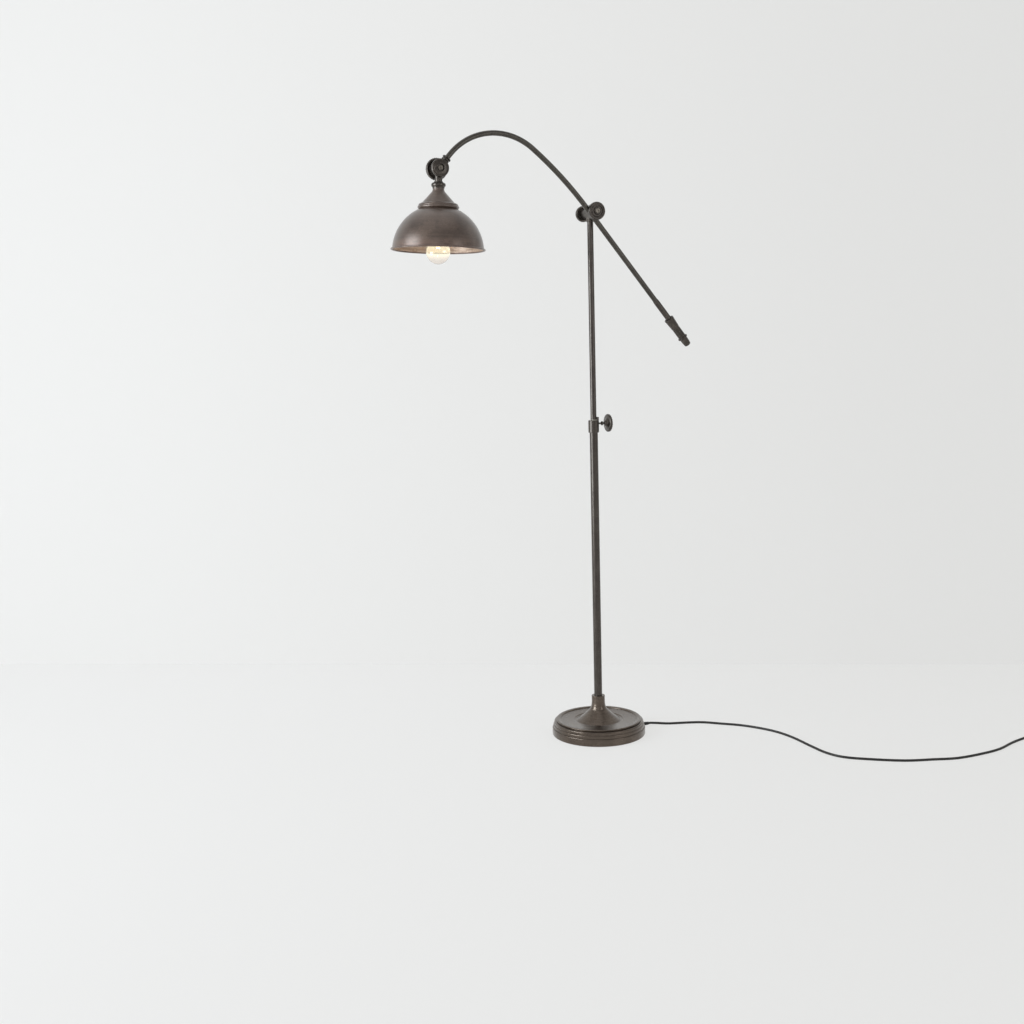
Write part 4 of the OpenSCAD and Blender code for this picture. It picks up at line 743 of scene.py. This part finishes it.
arm_bronze = bronze("arm bronze", (0.034, 0.030, 0.024), (0.074, 0.066, 0.055), (0.20, 0.18, 0.16), 600.0,
                    "rings", centre=clutch, tilt=arm_lean, rough=0.28, coat=0.5)
arm_tube = along("arm_tube_bent", arm_route(0.405, stub, 0), 0.00675, 48, arm_bronze)
fitted(arm_tube, "arm", ["arm_tube"])
arm_lead = along("arm_lead_inside", arm_route(0.345, 0.005, 0.0031), inner_lead, 12, sheath)
fitted(arm_lead, "arm", ["arm_lead"])

# ---- Tail handle ----
# Turned pieces pushed over the end of the tube: a swelling, a tapered cup, a barrel, a ring and
# a cap that also balances the shade.
tail_place = leg @ at(("move", -side, 0, 0), ("turn", "X", 180))
cup_profile = [(6.76, 289), (7.35, 289), (7.75, 295), (7.75, 356), (11.6, 351), (12.6, 351), (13.25, 351.8),
               (13.25, 354), (12.6, 358), (11.1, 381), (10.5, 383), (6.76, 383)]
grip_profile = [(6.76, 383), (10.5, 383), (10.5, 384.3)] + bow((10.8, 385.2), 0.9, -110, -250, 6)
grip_profile += [(10.5, 386.1)]
for groove_number in range(7):
    foot = 389.5 + 3.1 * groove_number
    grip_profile += [(10.5, foot), (10.05, foot + 0.35), (10.05, foot + 0.75), (10.5, foot + 1.1)]
grip_profile += [(10.5, 411.9)] + bow((10.8, 412.8), 0.9, -110, -250, 6)
grip_profile += [(10.5, 413.7), (10.5, 415), (6.76, 415)]
ring_profile = [(0, 415), (12.5, 415), (13.5, 416), (13.5, 418), (12.5, 419), (0, 419)]
cap_profile = [(0, 419), (9.5, 419), (10.2, 421), (10, 430)] + bow((5, 439), 4, 12, 90, 8) + [(0, 443)]
for node, profile, cut in (("tail_cup", cup_profile, 0.4), ("tail_grip", grip_profile, 0.15),
                           ("tail_ring", ring_profile, 0.4), ("tail_cap", cap_profile, 0.4)):
    fitted(spun(node + "_turned", profile, tail_place, cast_bronze, 64, cut), "arm", [node])

# ---- Swivel ----
# Two half-lapped knuckles, one on the arm and one on the shade, are clamped by a slotted bolt
# with a fibre washer between them, a plain disc in front and a large hand nut behind.
pivot_flat = crook_middle + crook_radius * towards(end_turn) + end_way * (stub + 0.0275)
pivot = leg @ Vector((pivot_flat.x, 0, pivot_flat.y))
swivel_place = at(("move", pivot.x, 0, pivot.z))
arm_end = leg @ at(("move", pivot_flat.x, 0, pivot_flat.y), ("turn", "Y", -end_turn))
ferrule_profile = [(6.76, -34.5), (10.8, -34.5), (11.6, -33.7), (11.6, -32.1), (10.8, -31.3), (8.3, -31.3),
                   (8.3, -28.3), (9.6, -28.3), (10.3, -27.6), (10.3, -26), (9.6, -25.3), (8.3, -25.3),
                   (8.3, -17.5), (6.76, -17.5)]
ferrule = spun("arm_ferrule_turned", ferrule_profile, arm_end, cast_bronze, 64, 0.3)
fitted(ferrule, "arm", ["arm_ferrule"])
machined("arm_knuckle", "arm", cast_bronze, 0.4)
machined("swivel_spring_washer", "arm", zinc, 0.15)
hand_nut("swivel_hand_nut", 28, -15.3, swivel_place, "swivel_nut", "swivel_nut")
machined("swivel_washer", "shade", fibre, 0)
machined("shade_knuckle", "shade", cast_bronze, 0.4)
face_profile = [(3.05, 0), (21, 0), (22.5, 1.5), (22.5, 5)] + bow((19, 5), 3.5, 0, 80, 8)
face_profile += [(18.6, 7.7), (18.0, 7.6), (17.4, 8.6), (13.5, 9.4), (9.9, 10), (9, 9.5), (8.55, 4.5),
                 (3.05, 4.5)]
face_place = swivel_place @ at(("move", 0, -0.0355, 0), ("turn", "X", 90))
face = spun("swivel_face_cast", face_profile, face_place, cast_bronze, 96, 0.35)
fitted(face, "shade", ["swivel_face"])
machined("swivel_bolt", "shade", bolt_steel, 0.25)

# ---- Shade ----
# Spun steel in weathered bronze: a turned bead, a cone, a rolled collar ring and a dome whose rim
# is rolled over a wire. Its cream lining has browned in the heat. A threaded tube holds the stack.
shade_lean = 2.3
shade_place = at(("move", *pivot), ("turn", "Y", shade_lean))
# The shade's bronze carries a painted warm reflection in a band just above the rim.
shade_bronze = bronze("shade bronze", (0.060, 0.039, 0.029), (0.128, 0.087, 0.065), (0.27, 0.20, 0.16), 560.0,
                      "rings", centre=tuple(pivot), tilt=shade_lean, rough=0.46, metal=0.7, cast=0.25,
                      coat=1.0, warm_reflection_depths=(0.172, 0.194))
bead_profile = [(4.85, -48.3), (15, -48.3), (15, -46.9)] + bow((12, -39.9), 6, -60, 60, 12)
bead_profile += [(11.1, -33.1), (11.1, -31.5), (4.85, -31.5)]
neck_bead = spun("neck_bead_turned", bead_profile, shade_place, cast_bronze, 96, 0.3)
fitted(neck_bead, "shade", ["neck_bead"])
cone_bend, cone_slope, bend_at = 12, 42, 49.3
bend_end = cone_bend * (1 - math.cos(math.radians(cone_slope))) + 14.2
cone_drop = 84.2 - bend_at - cone_bend * math.sin(math.radians(cone_slope))
cone_foot = bend_end + cone_drop * math.tan(math.radians(cone_slope))
bend_middle = (14.2 + cone_bend, -bend_at)
cone_profile = [(14.2, -48.3)] + bow(bend_middle, cone_bend, 180, 180 + cone_slope, 12)
cone_profile += [(cone_foot, -84.2), (cone_foot - 1.75, -84.2)]
cone_profile += bow(bend_middle, cone_bend + 1.3, 180 + cone_slope, 180, 12) + [(12.9, -48.3)]
shade_cone = spun("shade_cone_spun", cone_profile, shade_place, shade_bronze, 128, 0)
fitted(shade_cone, "shade", ["shade_cone"])
dome_radius, dome_centre, dome_top = 114, -202.0, 102.9
top_radius = math.sqrt(dome_radius ** 2 - dome_top ** 2)
collar_profile = [(cone_foot - 6, -84.2), (cone_foot + 2, -84.2)] + bow((44.5, -90.06), 5, 80, 10, 8)
collar_profile += [(48.9, -90.56)] + bow((47.5, -93.9), 4, 50, -50, 12)
collar_profile += [(48.5, -99.1), (top_radius - 5, -99.1), (top_radius - 5, -97.1), (45.5, -97.1),
                   (44.5, -91.5), (cone_foot, -86.2), (cone_foot - 6, -86.2)]
shade_ring = spun("shade_ring_spun", collar_profile, shade_place, shade_bronze, 144, 0.2)
fitted(shade_ring, "shade", ["shade_ring"])

cream_material, cream_place = blank_material("cream lining")
cream_place = cream_place.measured_from(tuple(pivot), shade_lean)
cream_cloud, cream_fine = cream_place.noise(34, 5), cream_place.noise(800, 3)
cream_flow = cream_place.node("ShaderNodeCombineXYZ", None, {
    "X": 9 * cream_place.reach(), "Y": 9 * cream_place.parts()[2], "Z": 0.4 * cream_cloud})
cream_tone = 0.7 * cream_flow.noise(22, 4).over(0.36, 0.62) + 0.3 * cream_cloud.over(0.35, 0.7)
cream = coated(cream_material, cream_place, {
    "Base Color": cream_tone.between((0.54, 0.42, 0.33), (0.32, 0.22, 0.16)), "Metallic": 0.35,
    "Roughness": 0.36 + 0.2 * (cream_cloud - 0.5) + 0.1 * (cream_fine - 0.5),
    "Normal": cream_fine.bump(0.2, 0.0002)})
rim_turn, top_turn = (math.degrees(math.asin(rise / dome_radius)) for rise in (6, dome_top))
outside = bow((0, dome_centre), dome_radius, top_turn, rim_turn + 0.6, 60)
wire_x, wire_z = dome_radius * math.cos(math.radians(rim_turn)) + 1.76, -196
rolled = bow((wire_x, wire_z), 2.2, 118, -195, 26)
lining_radius = 112.7
inside_turn = math.degrees(math.asin(101.6 / lining_radius))
inside = bow((0, dome_centre), lining_radius, rim_turn + 0.4, inside_turn, 60)
dome_profile = [(4.85, -99.1)] + outside + rolled + inside + [(4.85, -100.4)]
dome = spun("shade_dome_spun", dome_profile, at(), shade_bronze, 180, 0, 50)
dome.data.materials.append(cream)
for polygon in dome.data.polygons:
    middle = polygon.center
    reach = math.hypot(middle.x, middle.y)
    far = math.hypot(reach, middle.z - dome_centre / 1000)
    if (far < 0.1131 and reach < 0.1128) or (middle.z < -0.1 and reach < 0.03):
        polygon.material_index = 1
dome.data.transform(shade_place)
fitted(dome, "shade", ["shade_dome"])
shade_lead_path = [shade_place @ Vector((0, 0, -z)) for z in (0.0255, 0.06, 0.1074)]
shade_lead = along("shade_lead_inside", shade_lead_path, inner_lead, 16, sheath)
fitted(shade_lead, "shade", ["shade_lead"])
repaint(zinc, "shade_nipple")
machined("shade_locknut", "shade", zinc, 0.2)

# ---- Lampholder and switch key ----
# A drawn brass shell round a porcelain core, with a flat key that turns the lamp on and off.
holder_brass = plated("drawn brass", (0.42, 0.30, 0.13), (0.26, 0.17, 0.07), 0.32)
for part in ("holder_cap", "holder_shell"):
    machined(part, "shade", holder_brass, 0.3)
porcelain = plastic("porcelain", (0.70, 0.68, 0.63), (0.60, 0.57, 0.50), 0.22, 300.0)
machined("holder_core", "shade", porcelain, 0.3)
repaint(holder_brass, "holder_contact")
key_black = plastic("key plastic", (0.016, 0.014, 0.012), (0.04, 0.036, 0.03), 0.3, 800.0)
machined("switch_key", "switch_key", key_black, 0.6)

# ---- Bulb ----
# A clear 60 mm globe, lit: a screw cap, a blown envelope, a glass stem and a coiled filament
# on two wires.
machined("bulb_cap", "shade", nickel, 0.2)
holder_mouth, bulb_length, cap_in, globe_radius = 99.1 + 6.3 + 49, 102, 27, 30
globe_sag = 3  # the blown globe hangs this much lower than the cap alone would put it
bulb_bottom = holder_mouth - cap_in + bulb_length
globe = -(bulb_bottom + globe_sag - globe_radius)
mouth = -holder_mouth


def envelope(inset):
    """The bulb's outline from its neck to its crown, drawn in by its glass."""
    radius, half = globe_radius - inset, 13 - inset
    start, first = Vector((half, mouth - 2)), Vector((half, mouth - 14))
    end = Vector((0.7071 * radius, globe + 0.7071 * radius))
    second = end + Vector((-7, 7))
    neck = []
    for i in range(14):
        u, v = i / 14, 1 - i / 14
        neck.append(start * v ** 3 + first * 3 * v ** 2 * u + second * 3 * v * u ** 2 + end * u ** 3)
    return [(half - 1, mouth + 9), (half - 1, mouth)] + neck + bow((0, globe), radius, 45, -90, 36)


glass_material, glass_place = blank_material("bulb glass")
glow = glass_place.measured_from(tuple(pivot), shade_lean).parts()[2].over(-0.226, -0.196)
glass = coated(glass_material, glass_place, {
    "Base Color": glow.between((0.99, 0.955, 0.925), (1.0, 0.96, 0.88)), "Roughness": 0.03 + 0.05 * glow,
    "IOR": 1.45, "Transmission Weight": 1.0, "Emission Strength": 1.0,
    "Emission Color": glow.between((0.0, 0.0, 0.0), (0.150, 0.146, 0.110))})
blown = envelope(0) + envelope(0.8)[::-1]
bulb = spun("bulb_envelope", blown, shade_place, glass, 96, 0, 60)
bulb.visible_shadow = False
fitted(bulb, "shade", ["bulb_glass"])

wire_material, wire_place = blank_material("lit filament")
wire_noise = wire_place.noise(300)
lit = coated(wire_material, wire_place, {
    "Base Color": wire_noise.between((1.0, 0.8, 0.5), (1.0, 0.85, 0.6)), "Roughness": 0.3 + 0.1 * wire_noise,
    "Emission Color": wire_noise.between((1.0, 0.72, 0.36), (1.0, 0.80, 0.50)), "Emission Strength": 12.0})
stem_top = holder_mouth - cap_in + 18.8
stem_outline = [(0, 0), (5.5, 0), (4.2, 6), (3.0, 14), (2.4, 28), (2.6, 32), (1.6, 34), (0, 34)]
stem = spun("bulb_stem", [(r, -stem_top - drop) for r, drop in stem_outline], shade_place, glass, 32, 0.6)
stem.visible_shadow = False
fitted(stem, "shade", ["bulb_mount"])
filament_level = -(stem_top + 45.5) / 1000
coil_steps, coil_radius, coil_length = 240, 0.0009, 0.0092
coil_wire = []
for i in range(coil_steps + 1):
    a = math.tau * 12 * i / coil_steps
    x, y = (i / coil_steps - 0.5) * coil_length, coil_radius * math.cos(a)
    coil_wire.append(shade_place @ Vector((x, y, filament_level + coil_radius * math.sin(a))))
wires = [("filament", coil_wire, 0.00018, lit)]
for name, hand in (("support_left", -1), ("support_right", 1)):
    bends = [Vector((hand * x, 0, -(stem_top + z))) / 1000 for x, z in ((1.2, 32), (2.6, 38), (4.6, 45.2))]
    wires.append((name, [shade_place @ bend for bend in bends], 0.0003, nickel))
for name, points, radius, material in wires:
    part = along(name, points, radius, 8, material)
    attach(part, "shade")

bulb_light = bpy.data.lights.new("bulb light", "POINT")
bulb_light.energy, bulb_light.color, bulb_light.shadow_soft_size = 0.13, (1.0, 0.88, 0.72), 0.012
light_at = bpy.data.objects.new("bulb light", bulb_light)
light_at.location = shade_place @ Vector((0, 0, globe / 1000))
light_at.visible_camera = light_at.visible_glossy = light_at.visible_transmission = False
bpy.context.collection.objects.link(light_at)
